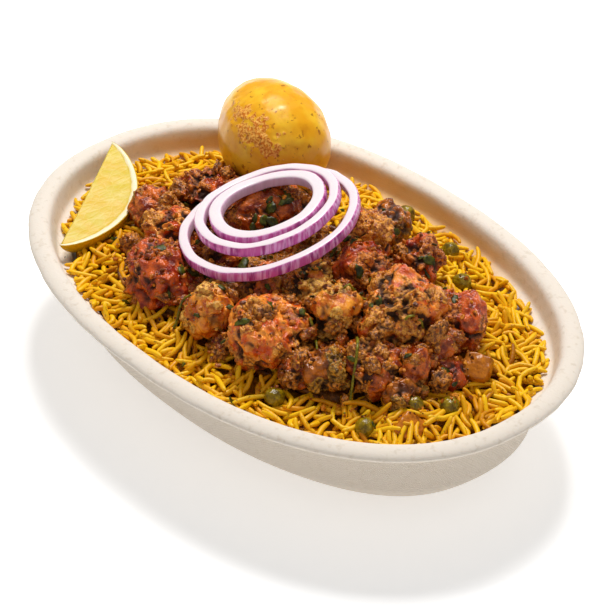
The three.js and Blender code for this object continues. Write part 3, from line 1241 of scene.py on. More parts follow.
@dataclass
class Chicken:
    """Boneless fried pieces, each a craggy skin grown over its CAD node."""

    spacing: float = 0.4  # mm between skin points
    fewest_steps: int = 22  # of the skin's grid, along an edge of its cube
    most_steps: int = 52
    passes: int = 6  # that smooth the CAD node's facets away
    full_size: float = 9.5  # mm, half across: a smaller piece has lower bumps
    seed: int = 40
    # Each kind of bump as (spacing in mm, height in mm)
    lumps: tuple = (6.8, 4.4)
    knobs: tuple = (3.5, 2.3)
    crumbs: tuple = (1.9, 1.35)
    grit: tuple = (1.0, 0.45)
    swell: tuple = (9.0, 2.4)
    waves: tuple = (4.4, 1.2)
    # Noise that bends the fields of bumps, as (spacing in mm, reach in mm)
    warp: tuple = (4.0, 1.5)
    tear: tuple = (1.7, 0.8)
    coat_spacing: tuple = (6.5, 2.8)  # mm, coarse and fine
    coat_edge: tuple = (-0.15, 0.35)  # noise values from no coat to the whole coat
    cleft_spacing: float = 7.0  # mm
    cleft_width: float = 0.12

    def craggy(self, number: int) -> Surface:
        """The skin of one piece.

        The skin is pushed out by bumps of four sizes, on a broad swell. A bump's height is
        multiplied by 0.55 less the distance to the nearest of scattered points. Crumbs and grit
        are higher where the coat is thick. Ridges stand where a noise field crosses zero, and
        clefts run where another one does.

        Args:
            number: the piece's number in the CAD model.

        Returns:
            Its surface, with the coat and depth on each point.
        """
        node = Node(f"chicken_{number:02d}")
        half = float((node.high - node.low).mean() / 2)
        wanted = half * math.pi / 2 / self.spacing
        steps = int(np.clip(wanted, self.fewest_steps, self.most_steps))
        points, faces = skin_over(node, steps, self.passes)
        outward = normals_of(points, faces)
        seed = self.seed + 20 * number
        size = min(1.0, half / self.full_size)
        warp = cloud_vectors(points, self.warp[0], (seed + 1, seed + 2, seed + 3))
        bent = points + self.warp[1] * warp
        coarse, fine = (cloud(points, self.coat_spacing[k], seed + 4 + k) for k in (0, 1))
        coat = smooth(coarse + 0.5 * fine, *self.coat_edge)
        tear = cloud_vectors(points, self.tear[0], (seed + 21, seed + 22, seed + 23))
        torn = bent + self.tear[1] * tear

        def bumps(kind: tuple, where: Array, salt: int) -> Array:
            """Heights of one kind of bump, in a field of its own."""
            return kind[1] * (0.55 - grains_field(where, kind[0], seed + salt))

        waves = self.waves[1] * cloud(torn, self.waves[0], seed + 30)
        lumps = (0.5 * bumps(self.lumps, bent, 6) + waves) * size
        lumps = lumps + (self.swell[1] * cloud(points, self.swell[0], seed + 31) - 0.4) * size
        ridges = 0.35 - np.abs(cloud(torn, 1.2 * self.knobs[0], seed + 24))
        knobs = 0.35 * bumps(self.knobs, torn, 9) + 1.25 * self.knobs[1] * ridges
        crumbs = bumps(self.crumbs, torn, 12)
        grit = bumps(self.grit, points, 15)
        cleft_field = cloud(bent, self.cleft_spacing * size, seed + 18)
        cleft = smooth(np.abs(cleft_field), self.cleft_width, 0.0)
        push = (
            0.9 * lumps + knobs * (0.6 + 0.4 * coat) * size + crumbs * (0.15 + 0.85 * coat)
            + grit * (0.2 + 1.1 * coat) - 0.6 * cleft + 0.3 * coat - 0.1
        )
        points = points + outward * push[:, None]
        # how high a place stands among the bumps: the finish paints shade where it is low
        depth = 0.48 + 0.13 * lumps + 0.3 * knobs + 0.46 * crumbs * coat - 0.3 * cleft
        return Surface(points, faces, {"coat": coat, "depth": depth})

    def build(self) -> list[Surface]:
        """Makes every piece.

        Returns:
            Their surfaces.
        """
        surfaces = []
        for spice, numbers in CHICKEN_SPICE.items():
            material = FriedFinish(spice).material()
            for number in numbers:
                surface = self.craggy(number)
                name = f"chicken_{number:02d}"
                build_piece(f"{name}_fried", surface, material, (name,))
                surfaces.append(surface)
        return surfaces


# ---------------------------------------------------------------------------------------------
# The masala under the chicken
# ---------------------------------------------------------------------------------------------


@dataclass
class MasalaBed:
    """A ragged bed of ground spice, fried onion and oil that the chicken lies in."""

    rings: int = 70
    spokes: int = 260
    underside: float = 5.0  # mm below its top at the middle
    relief: float = 1.3
    margin_sink: float = 3.4  # mm that its rim dips under the rice
    share: float = 0.93  # of the CAD bed's width, as grains cover its rim
    sectors: int = 48  # in which the CAD bed's reach is measured
    cell: float = 0.8  # mm, of the grid that holds its heights
    spacing: float = 0.35  # mm between the points that the heights come from
    drawn_in: tuple = (0.985, 0.015)  # shares of the place and the middle where heights are read
    evenings: int = 3  # times that the top is evened out round the bed
    seed: int = 90

    def build(self) -> Surface:
        """Makes the bed on a grid of rings and spokes, closed underneath.

        Returns:
            Its surface.
        """
        node = Node("masala")
        rng = np.random.default_rng(self.seed)
        ground = Terrain(100, 70, self.cell)
        spread = node.samples(rng, self.spacing)
        ground.add(spread)
        middle = node.centre[:2]
        edge_points = spread[:, :2] - middle
        turn = np.arctan2(edge_points[:, 1], edge_points[:, 0])
        reach = np.linalg.norm(edge_points, axis=1)
        count = self.sectors
        sector = np.floor((turn + math.pi) / (2 * math.pi) * count).astype(int) % count
        outline = np.array([reach[sector == k].max() for k in range(count)])
        angle = np.arange(self.spokes) / self.spokes * 2 * math.pi - math.pi
        centres = (np.arange(count) + 0.5) / count * 2 * math.pi - math.pi
        edge = self.share * np.interp(angle, centres, outline, period=2 * math.pi)
        inner = np.linspace(1, 1 / self.rings, self.rings)
        direction = np.stack([np.cos(angle), np.sin(angle)], -1)
        xy = middle + inner[:, None, None] * (edge[:, None] * direction)[None]
        top = ground.at(xy * self.drawn_in[0] + middle * self.drawn_in[1])
        top = np.maximum(top, node.low[2])
        for _ in range(self.evenings):
            top = (np.roll(top, 1, 1) + 2 * top + np.roll(top, -1, 1)) / 4
        upper = np.concatenate([xy, top[..., None]], -1)
        flat = upper.reshape(-1, 3)
        fade = smooth(1 - np.repeat(inner, self.spokes), 0.0, 0.06)
        push = (
            0.7 * cloud(flat, 5.0, self.seed) + 1.5 * (0.6 - grains_field(flat, 2.2, self.seed + 2))
            + 0.5 * cloud(flat, 1.4, self.seed + 6)
        )
        upper[..., 2] += (self.relief * push * fade).reshape(top.shape)
        upper[..., 2] -= self.margin_sink * smooth(inner, 0.72, 0.98)[:, None]
        lower = upper[::-1].copy()
        lower[..., 2] = top[::-1] - self.underside * smooth(1 - inner[::-1], 0, 0.1)[:, None] - 0.4
        rows = np.concatenate([lower, upper])
        ends = np.array([[*middle, lower[0, :, 2].mean()], [*middle, upper[-1, :, 2].mean()]])
        points = np.concatenate([rows.reshape(-1, 3), ends])
        tone = 0.45 + 0.5 * cloud(points, 4.0, self.seed + 9)
        surface = Surface(points, tube_faces(len(rows), self.spokes), {"tone": tone})
        finish = CrumbFinish("masala_bed", BED_STOPS)
        build_piece("masala_bed", surface, finish.material(), ("masala",))
        return surface


# ---------------------------------------------------------------------------------------------
# Egg, lemon, onion, peas, carrot
# ---------------------------------------------------------------------------------------------


@dataclass
class Egg:
    """A boiled egg, fried whole, with a blistered patch on its flank."""

    steps: int = 64
    passes: int = 14  # that smooth the CAD node's facets away
    flank: tuple = (0.4, -0.8, 0.6)  # the way from its middle to the patch
    patch_size: tuple = (11.0, 5.0)  # mm, half its length and half its width
    patch_edge: tuple = (1.9, 0.2)  # from no blisters to the most, in the patch's half sizes
    highest: float = 0.25  # mm that its skin may stand out
    finish: EggFinish = EggFinish()

    def build(self) -> Surface:
        """Makes the egg.

        Returns:
            Its surface.
        """
        node = Node("egg")
        points, faces = skin_over(node, self.steps, self.passes)
        outward = normals_of(points, faces)
        flank = unit(np.array(self.flank))
        offset = points - node.centre - flank * node.reach(node.centre, flank[None])[0]
        sideways = unit(np.cross([0, 0, 1], flank))
        slant = unit(sideways - 0.75 * np.cross(flank, sideways))
        along, across = offset @ slant, offset @ np.cross(flank, slant)
        away = np.hypot(along / self.patch_size[0], across / self.patch_size[1])
        away = away + 0.55 * cloud(points, 4.5, 54) + 0.35 * cloud(points, 1.8, 55)
        blister = smooth(away, *self.patch_edge)
        push = 0.28 * cloud(points, 9.0, 51) + 0.10 * cloud(points, 3.0, 52)
        push += blister * (0.45 * cloud(points, 1.4, 53) + 0.1)
        points = points + outward * np.minimum(push, self.highest)[:, None]
        surface = Surface(points, faces, {"blister": blister})
        build_piece("egg_fried", surface, self.finish.material(), ("egg",))
        return surface


@dataclass
class Lemon:
    """A wedge of lemon that leans on the rim, with its rind outwards.

    A section of it is a sector, whose corner is on the straight core from tip to tip.
    """

    stations: int = 110
    face_points: int = 34
    arc_points: int = 30
    bulge_power: float = 0.62
    middle_part: float = 0.12  # of the length, to each side of the middle, where it is measured
    rind_share: float = 0.8  # of the radius, outside which a CAD point is on the rind
    flesh_edge: tuple = (1.5, 3.2)  # mm from the rind, over which the flesh starts to sink
    sunk: float = 0.35  # mm
    finish: LemonFinish = LemonFinish()

    def build(self) -> Surface:
        """Makes the wedge. Its radius is R sin(pi s)^b at the share s of the core's length.

        Returns:
            Its surface.
        """
        node = Node("lemon_wedge")
        axis = node.axes()[0]
        axis = axis * np.sign(axis[2])
        low = node.points[np.argmin(node.points @ axis)]
        high = node.points[np.argmax(node.points @ axis)]
        core = unit(high - low)
        inward = -unit(np.cross([0, 0, 1], core))
        down = np.cross(inward, core)
        down = down * -np.sign(down[2])
        offset = node.points - low
        share = offset @ core / np.linalg.norm(high - low)
        x, y = offset @ inward, offset @ down
        middle = np.abs(share - 0.5) < self.middle_part
        radius = np.hypot(x, y)[middle].max()
        rim = middle & (np.hypot(x, y) > self.rind_share * radius)
        first, last = np.arctan2(y, x)[rim].min(), np.arctan2(y, x)[rim].max()
        s = (1 - np.cos(math.pi * np.linspace(0, 1, self.stations + 2)[1:-1])) / 2
        out = np.linspace(0.02, 1, self.face_points)
        turn = np.linspace(first, last, self.arc_points)[1:-1]
        ratio = np.concatenate([out, np.ones(len(turn)), out[::-1]])
        angle = np.concatenate([np.full(len(out), first), turn, np.full(len(out), last)])
        reach = radius * np.sin(math.pi * s)[:, None] ** self.bulge_power
        section = np.cos(angle)[:, None] * inward + np.sin(angle)[:, None] * down
        spine = low + (s * np.linalg.norm(high - low))[:, None] * core
        points = spine[:, None] + (reach * ratio)[..., None] * section
        gap = np.concatenate([(reach * (1 - ratio)).ravel(), [0.0, 0.0]])
        points = np.concatenate([points.reshape(-1, 3), low[None], high[None]])
        faces = tube_faces(len(s), len(ratio))
        a, b, c = (points[faces[:, k]] for k in range(3))
        if np.einsum("ij,ij->", np.cross(b - a, c - a), (a + b + c) / 3 - node.centre) < 0:
            faces = faces[:, ::-1]
        outward = normals_of(points, faces)
        flesh = smooth(gap, *self.flesh_edge)
        push = flesh * (0.06 * cloud(points, 2.6, 61) - self.sunk)
        push = push + 0.1 * cloud(points, 5.0, 62) - 0.1
        points = points + outward * push[:, None]
        surface = Surface(points, faces, {"gap": gap})
        build_piece("lemon_cut", surface, self.finish.material(), ("lemon_wedge",))
        return surface


@dataclass
class OnionRings:
    """Nested rings of red onion. Each is a band carried round a fitted curve."""

    rounds: int = 220
    band_points: int = 22
    harmonics: int = 4
    edge_power: float = 0.42  # how square the band's edges are: 1 is round
    waver: tuple = (6.0, 0.25)  # mm, spacing and reach
    finish: OnionFinish = OnionFinish()

    def fitted(self, angle: Array, values: Array, at: Array) -> Array:
        """Fits sums of sines and cosines to values round a circle.

        Args:
            angle: where the values are.
            values: what they are.
            at: where the fit is wanted.

        Returns:
            The fit c0 + sum of ck cos(k a) + dk sin(k a).
        """
        def basis(a: Array) -> Array:
            """The terms of the sum at each angle."""
            waves = [f(k * a) for k in range(1, self.harmonics + 1) for f in (np.cos, np.sin)]
            return np.stack([np.ones_like(a), *waves], -1)

        solved, *_ = np.linalg.lstsq(basis(angle), values, rcond=None)
        return basis(at) @ solved

    def ring(self, number: int) -> Surface:
        """One ring, from the inner and outer outlines of its CAD node.

        Args:
            number: the ring's number in the CAD model.

        Returns:
            Its surface, with how far each point faces out and up in its section.
        """
        node = Node(f"onion_ring_{number}")
        normal = node.axes()[2]
        normal = normal * np.sign(normal[2])
        side = unit(np.cross(normal, [0, 1, 0.001]))
        fore = np.cross(normal, side)
        middle = node.points.mean(0)
        local = (node.points - middle) @ np.stack([side, fore, normal], 1)
        radius, turn = np.hypot(local[:, 0], local[:, 1]), np.arctan2(local[:, 1], local[:, 0])
        at = np.arange(self.rounds) / self.rounds * 2 * math.pi
        split = self.fitted(turn, radius, turn)
        outer = self.fitted(turn[radius > split], radius[radius > split], at)
        inner = self.fitted(turn[radius <= split], radius[radius <= split], at)
        height = self.fitted(turn, local[:, 2], turn)
        over = local[:, 2] > height
        top = self.fitted(turn[over], local[over, 2], at)
        low = self.fitted(turn[~over], local[~over, 2], at)
        q = np.arange(self.band_points) / self.band_points * 2 * math.pi
        c, s = np.cos(q), np.sin(q)
        c, s = (np.sign(v) * np.abs(v) ** self.edge_power for v in (c, s))
        r = ((outer + inner) / 2)[:, None] + ((outer - inner) / 2)[:, None] * c
        z = ((top + low) / 2)[:, None] + ((top - low) / 2)[:, None] * s
        points = (
            middle + (r * np.cos(at)[:, None])[..., None] * side
            + (r * np.sin(at)[:, None])[..., None] * fore + z[..., None] * normal
        )
        flat = points.reshape(-1, 3)
        seeds = (70 + number, 74 + number, 78 + number)
        flat = flat + self.waver[1] * cloud_vectors(flat, self.waver[0], seeds)
        marks = {"outward": np.tile(c, self.rounds), "upward": np.tile(s, self.rounds)}
        return Surface(flat, ring_faces(self.rounds, self.band_points), marks)

    def build(self) -> list[Surface]:
        """Makes the three rings.

        Returns:
            Their surfaces.
        """
        material = self.finish.material()
        surfaces = []
        for number in (1, 2, 3):
            surface = self.ring(number)
            name = f"onion_ring_{number}"
            build_piece(f"{name}_sliced", surface, material, (name,))
            surfaces.append(surface)
        return surfaces


@dataclass(frozen=True)
class VegetableKind:
    """One kind of vegetable: how its skin is made, and its finish."""

    name: str
    steps: int  # of the skin's grid, along an edge of its cube
    passes: int  # that smooth the CAD node's facets away
    dent: float  # mm
    finish: VegetableFinish


PEA = VegetableKind(
    "pea", 16, 6, 0.45, VegetableFinish("pea", tint(160, 132, 14), tint(92, 72, 2), 0.6, 0.24),
)
CARROT = VegetableKind(
    "carrot", 22, 3, 0.5, VegetableFinish("carrot", tint(208, 124, 20), tint(158, 86, 4), 0.35),
)


@dataclass
class Vegetables:
    """Peas, and dice of carrot, half sunk in the rice."""

    kinds: tuple[VegetableKind, ...] = (PEA, CARROT)

    def build(self) -> list[Surface]:
        """Makes each pea and die as a wrinkled skin over its CAD node.

        Returns:
            Their surfaces.
        """
        surfaces = []
        for kind in self.kinds:
            material = kind.finish.material()
            for name in sorted(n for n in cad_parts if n.startswith(f"{kind.name}_")):
                points, faces = skin_over(Node(name), kind.steps, kind.passes)
                dent = cloud(points, 2.6, 81) + 0.5 * cloud(points, 1.3, 82) - 0.9
                points = points + normals_of(points, faces) * (kind.dent * 0.6 * dent)[:, None]
                surface = Surface(points, faces, {})
                build_piece(f"{name}_cooked", surface, material, (name,))
                surfaces.append(surface)
        return surfaces


# ---------------------------------------------------------------------------------------------
# The rice
# ---------------------------------------------------------------------------------------------


@dataclass
class Rice:
    """Long grains heaped over a smaller core that has its own relief."""

    bowl: Bowl
    grain_count: int = 1700
    length: float = 13.0  # mm, of a middling grain
    length_spread: float = 2.4
    length_limits: tuple = (6.5, 17.0)
    broken: tuple = (0.35, 0.75)  # the share of its length that a broken grain keeps
    broken_every: int = 4  # tries, of which one is a broken grain
    radius: float = 0.98
    sides: int = 7
    candidates: int = 6  # spots looked at for a grain, of which the lowest is taken
    most_tries: int = 20  # for each grain wanted
    least_room: float = 0.2  # mm under the outline, or a spot is full
    most_over: float = 4.4  # mm that a grain's end may stand over the outline
    mean_over: float = 1.5  # mm that a whole grain may
    steepest: float = 1.2  # rise over run
    level_pull: float = 0.12  # how strongly a grain keeps to the slope picked by chance
    core_depth: float = 4.4  # mm from the heap's outline down to the core
    core_spokes: int = 360
    core_rings: int = 120
    core_wall: tuple = ((46.0, 5.0), (30.0, 8.0), (22.0, 17.0), (19.4, 27.0))  # (inset, z)
    edge_inset: float = 15.8
    grain_inset: float = 11.2  # mm in from the rim's outline, which no grain crosses
    top_depth: float = 12.0  # mm under the rim, above which a CAD point is on the heap's top
    ledge_depth: float = 9.6  # mm under the rim, where the heap is lowest
    fits: int = 8
    fit_slack: float = 0.8  # mm under the fit that a point may be and still count
    seed: int = 5
    buried: tuple = (("carrot_2", 5.0), ("pea_3", 2.5))  # each with the rise over it in mm
    buried_reach: float = 8.0
    shades: tuple = ("brown", "deep", "bright")  # from the lowest tone to the highest
    finish: RiceFinish = RiceFinish()

    FINE = np.linspace(-1, 1, 15)  # places along a grain, from end to end
    STATIONS = np.array([-1, -0.93, -0.7, -0.3, 0.3, 0.7, 0.93, 1])  # those that its mesh has
    TAPER = np.array([0.36, 0.66, 0.91, 1, 1, 0.93, 0.7, 0.4])  # its thickness at them
    ACROSS = np.array([-0.8, -0.4, 0.0, 0.4, 0.8])  # places across a grain, in radii

    def __post_init__(self) -> None:
        """Fits the heap's outline z = c . (1, x, y, x^2, xy, y^2) to the CAD heap's top.

        Points under the fit are let go over and over, so that the hollows where other pieces
        stand don't pull it down.
        """
        self.bed = Node("masala")
        points = Node("rice").samples(np.random.default_rng(self.seed), 1.0)
        points = points[points[:, 2] > self.bowl.height - self.top_depth]
        for _ in range(self.fits):
            solved, *_ = np.linalg.lstsq(self._terms(points), points[:, 2], rcond=None)
            points = points[points[:, 2] > self._terms(points) @ solved - self.fit_slack]
        self.shape = solved

    @staticmethod
    def _terms(xy: Array) -> Array:
        """The terms 1, x, y, x^2, xy, y^2 at each place."""
        x, y = xy[..., 0], xy[..., 1]
        return np.stack([np.ones_like(x), x, y, x * x, x * y, y * y], -1)

    def outline(self, xy: Array) -> Array:
        """The height up to which the grains are heaped: at the ledge or over it.

        It rises by h exp(-(d/w)^2) over each piece that lies buried, d being how far off it is.

        Args:
            xy: the places.

        Returns:
            The height at each place.
        """
        heap = np.maximum(self._terms(xy) @ self.shape, self.bowl.height - self.ledge_depth)
        for name, rise in self.buried:
            middle = Node(name).centre[:2]
            away = np.linalg.norm(xy - middle, axis=-1) / self.buried_reach
            heap = heap + rise * np.exp(-away**2)
        return heap

    def inside(self, xy: Array, inset: float) -> Array:
        """Finds which places are within the bowl's oval.

        Args:
            xy: the places.
            inset: how far the oval is drawn in from the rim's outline.

        Returns:
            True for each place that is within it.
        """
        x = np.abs(xy[..., 0]) / (self.bowl.half_length - inset)
        y = np.abs(xy[..., 1]) / (self.bowl.half_width - inset)
        return x**self.bowl.squareness + y**self.bowl.squareness < 1

    def _from_bed(self, xy: Array) -> Array:
        """How far a place is from the masala's middle, where 1 is its edge."""
        low, high = self.bed.low[:2], self.bed.high[:2]
        return np.linalg.norm((xy - (low + high) / 2) / ((high - low) / 2), axis=-1)

    def core(self) -> Surface:
        """The core: the heap drawn in on all sides, with relief finer than a grain.

        Returns:
            Its surface, with a dark tone on each point: painted shade for the gaps between the grains,
            where it shows.
        """
        spokes, rings = self.core_spokes, self.core_rings
        angle = np.arange(spokes) / spokes * 2 * math.pi
        share = np.linspace(1, 1 / rings, rings)[:, None]
        edge = self.bowl.oval(np.array(self.edge_inset + 1.8), np.array(self.bowl.height), angle)
        xy = share[..., None] * edge[None, :, :2]
        top = self.outline(xy) - self.core_depth
        flat = np.concatenate([xy, top[..., None]], -1).reshape(-1, 3)
        stretched = flat * np.array([0.6, 1.0, 1.0])
        push = 1.0 * (0.5 - grains_field(stretched, 2.4, 21)) + 0.6 * cloud(flat, 5.0, 24)
        top = top + push.reshape(top.shape)
        upper = np.concatenate([xy, top[..., None]], -1)
        wall = [
            self.bowl.oval(np.array(inset), np.array(z), angle)[None]
            for inset, z in self.core_wall
        ]
        rows = np.concatenate([*wall, upper])
        ends = np.array([[0, 0, 5.0], [0, 0, top[-1].mean()]])
        points = np.concatenate([rows.reshape(-1, 3), ends])
        # painted shade: the core is dark, as it only shows in the gaps between grains
        tone = 0.1 + 0.15 * cloud(points, 6.0, 26)
        return Surface(points, tube_faces(len(rows), spokes), {"tone": tone})

    def build(self, ground: Terrain) -> None:
        """Makes the core and lays the grains on it, one after another.

        Args:
            ground: the height of the bowl and of all that stands in the rice. The grains are
                added to it.
        """
        material = self.finish.material()
        core = self.core()
        build_piece("rice_core", core, material, ("rice",))
        ground.add(core.points)
        ground.fill()
        paths, radii, tones = self._laid(ground)
        group = np.digitize(tones, np.quantile(tones, [1 / 3, 2 / 3]))
        for kind, shade in enumerate(self.shades):
            points, faces = tubes(paths[group == kind], radii[group == kind], self.sides)
            per_grain = len(points) // np.count_nonzero(group == kind)
            tone = np.repeat(tones[group == kind], per_grain)
            grains = Surface(points, faces, {"tone": tone})
            build_piece(f"rice_grains_{shade}", grains, material, ())

    def _footing(self, ground: Terrain) -> Terrain:
        """What the grains lean on: the ground, cut off at the heap's outline inside the oval.

        So they run on a little way under the edges of the chicken.

        Args:
            ground: the height of everything so far.

        Returns:
            A grid of its own.
        """
        footing = ground.copy()
        cells = np.stack(np.indices(footing.height.shape), -1) * footing.cell + footing.origin
        sheltered = np.minimum(footing.height, self.outline(cells))
        held = self.inside(cells, self.edge_inset)
        footing.height = np.where(held, sheltered, footing.height)
        return footing

    def _level_line(
        self, rng: np.random.Generator, spot: Array, broken: bool
    ) -> tuple[Array, Array, float, float]:
        """Picks a grain's length, thickness, heading and bend.

        Args:
            rng: where the chances come from.
            spot: the place of its middle.
            broken: whether it is a broken grain, which fits where a whole one doesn't.

        Returns:
            Its middle line as x and y, the direction across it, half its length, its radius.
        """
        fine = self.FINE
        length = rng.normal(self.length, self.length_spread)
        half = float(np.clip(length, *self.length_limits)) / 2
        if broken:
            half *= rng.uniform(*self.broken)
        r = self.radius * rng.uniform(0.88, 1.08)
        heading = rng.uniform(0, math.pi)
        bend = rng.normal(0, 0.2) + rng.choice([0, 0, 0.5, -0.5])
        ahead = np.array([math.cos(heading), math.sin(heading)])
        aside = np.array([-ahead[1], ahead[0]])
        curve = bend * half * (fine**2 - 0.33) + rng.normal(0, 0.05) * half * fine**3
        xy = spot + half * fine[:, None] * ahead + curve[:, None] * aside
        return xy, aside, half, r

    def _resting(
        self, rng: np.random.Generator, footing: Terrain, xy: Array, half: float, r: float
    ) -> Array:
        """Finds how high a grain rests.

        At slope b it touches the footing h at height max(h - b s) over its places s. It takes
        the slope for which that is least, with a pull towards one picked by chance, and settles
        by half its radius.

        Args:
            rng: where the chances come from.
            footing: what it leans on.
            xy: its middle line.
            half: half its length.
            r: its radius.

        Returns:
            The height of its middle line.
        """
        slopes = np.linspace(-self.steepest, self.steepest, 25)[:, None]
        h = footing.at(xy) + r
        line = (h - slopes * half * self.FINE).max(1)
        wish = rng.normal(0, 0.5) * (rng.random() < 0.6)
        cost = line + self.level_pull * half * np.abs(slopes[:, 0] - wish)
        pick = int(np.argmin(cost))
        b, a = float(slopes[pick, 0]), float(line[pick]) - 0.5 * r
        return a + b * half * self.FINE

    def _laid(self, ground: Terrain) -> tuple[Array, Array, Array]:
        """Drops grains one by one, each to where it rests on what is below it.

        A grain stays only if it keeps near the heap's outline. A place that has been tried
        counts as a little fuller, so that the tries move on.

        Args:
            ground: the height of everything so far, which the grains are added to.

        Returns:
            The grains' middle lines, their radii at each station and their tones.
        """
        rng = np.random.default_rng(self.seed + 1)
        fine = self.FINE
        crown = np.sqrt(1 - self.ACROSS**2)
        paths, radii, tones = [], [], []
        footing = self._footing(ground)
        tired = ground.copy()  # how full each place counts for having been tried
        tired.height[:] = 0.0
        tries = 0
        while len(paths) < self.grain_count and tries < self.most_tries * self.grain_count:
            tries += 1
            spots = rng.uniform(-1, 1, (self.candidates, 2))
            spots = spots * (self.bowl.half_length, self.bowl.half_width)
            room = self.outline(spots) - ground.at(spots) - tired.at(spots)
            room = np.where(self.inside(spots, self.edge_inset - 1.6), room, -9.0)
            best = int(np.argmax(room))
            if room[best] < self.least_room:
                continue
            broken = tries % self.broken_every == 0
            xy, aside, half, r = self._level_line(rng, spots[best], broken)
            tired.raise_round(spots[best], 1.2, 0.2)
            if not self.inside(xy, self.grain_inset).all():
                continue
            z = self._resting(rng, footing, xy, half, r)
            over = z - self.outline(xy)
            if over.max() > self.most_over or over.mean() > self.mean_over:
                continue
            z = z - 0.5 * r * fine**2 * rng.uniform(0, 1)
            lateral = (self.ACROSS * r)[None, :, None] * aside
            cover = np.concatenate([
                xy[:, None] + lateral,
                (z[:, None] + r * crown)[..., None],
            ], -1)
            ground.add(cover)
            footing.add(cover)
            line = [np.interp(self.STATIONS, fine, v) for v in (xy[:, 0], xy[:, 1], z)]
            paths.append(np.stack(line, -1))
            radii.append(r * self.TAPER * rng.uniform(0.93, 1.05, len(self.STATIONS)))
            # painted shade: a grain that lies under the heap's outline gets a lower tone; one near the
            # masala gets a lower tone for its brown stain
            sunk = float(np.clip(-over.mean() / 4, 0, 1))
            near_bed = float(smooth(self._from_bed(spots[best]), 1.25, 1.0))
            shade = rng.normal(0.76, 0.2) - 0.45 * sunk - 0.25 * near_bed
            tones.append(float(np.clip(shade, 0.02, 1)))
        log.info("rice: %d grains after %d tries", len(paths), tries)
        return np.array(paths), np.array(radii), np.array(tones)


# ---------------------------------------------------------------------------------------------
# Crumbs and herbs
# ---------------------------------------------------------------------------------------------


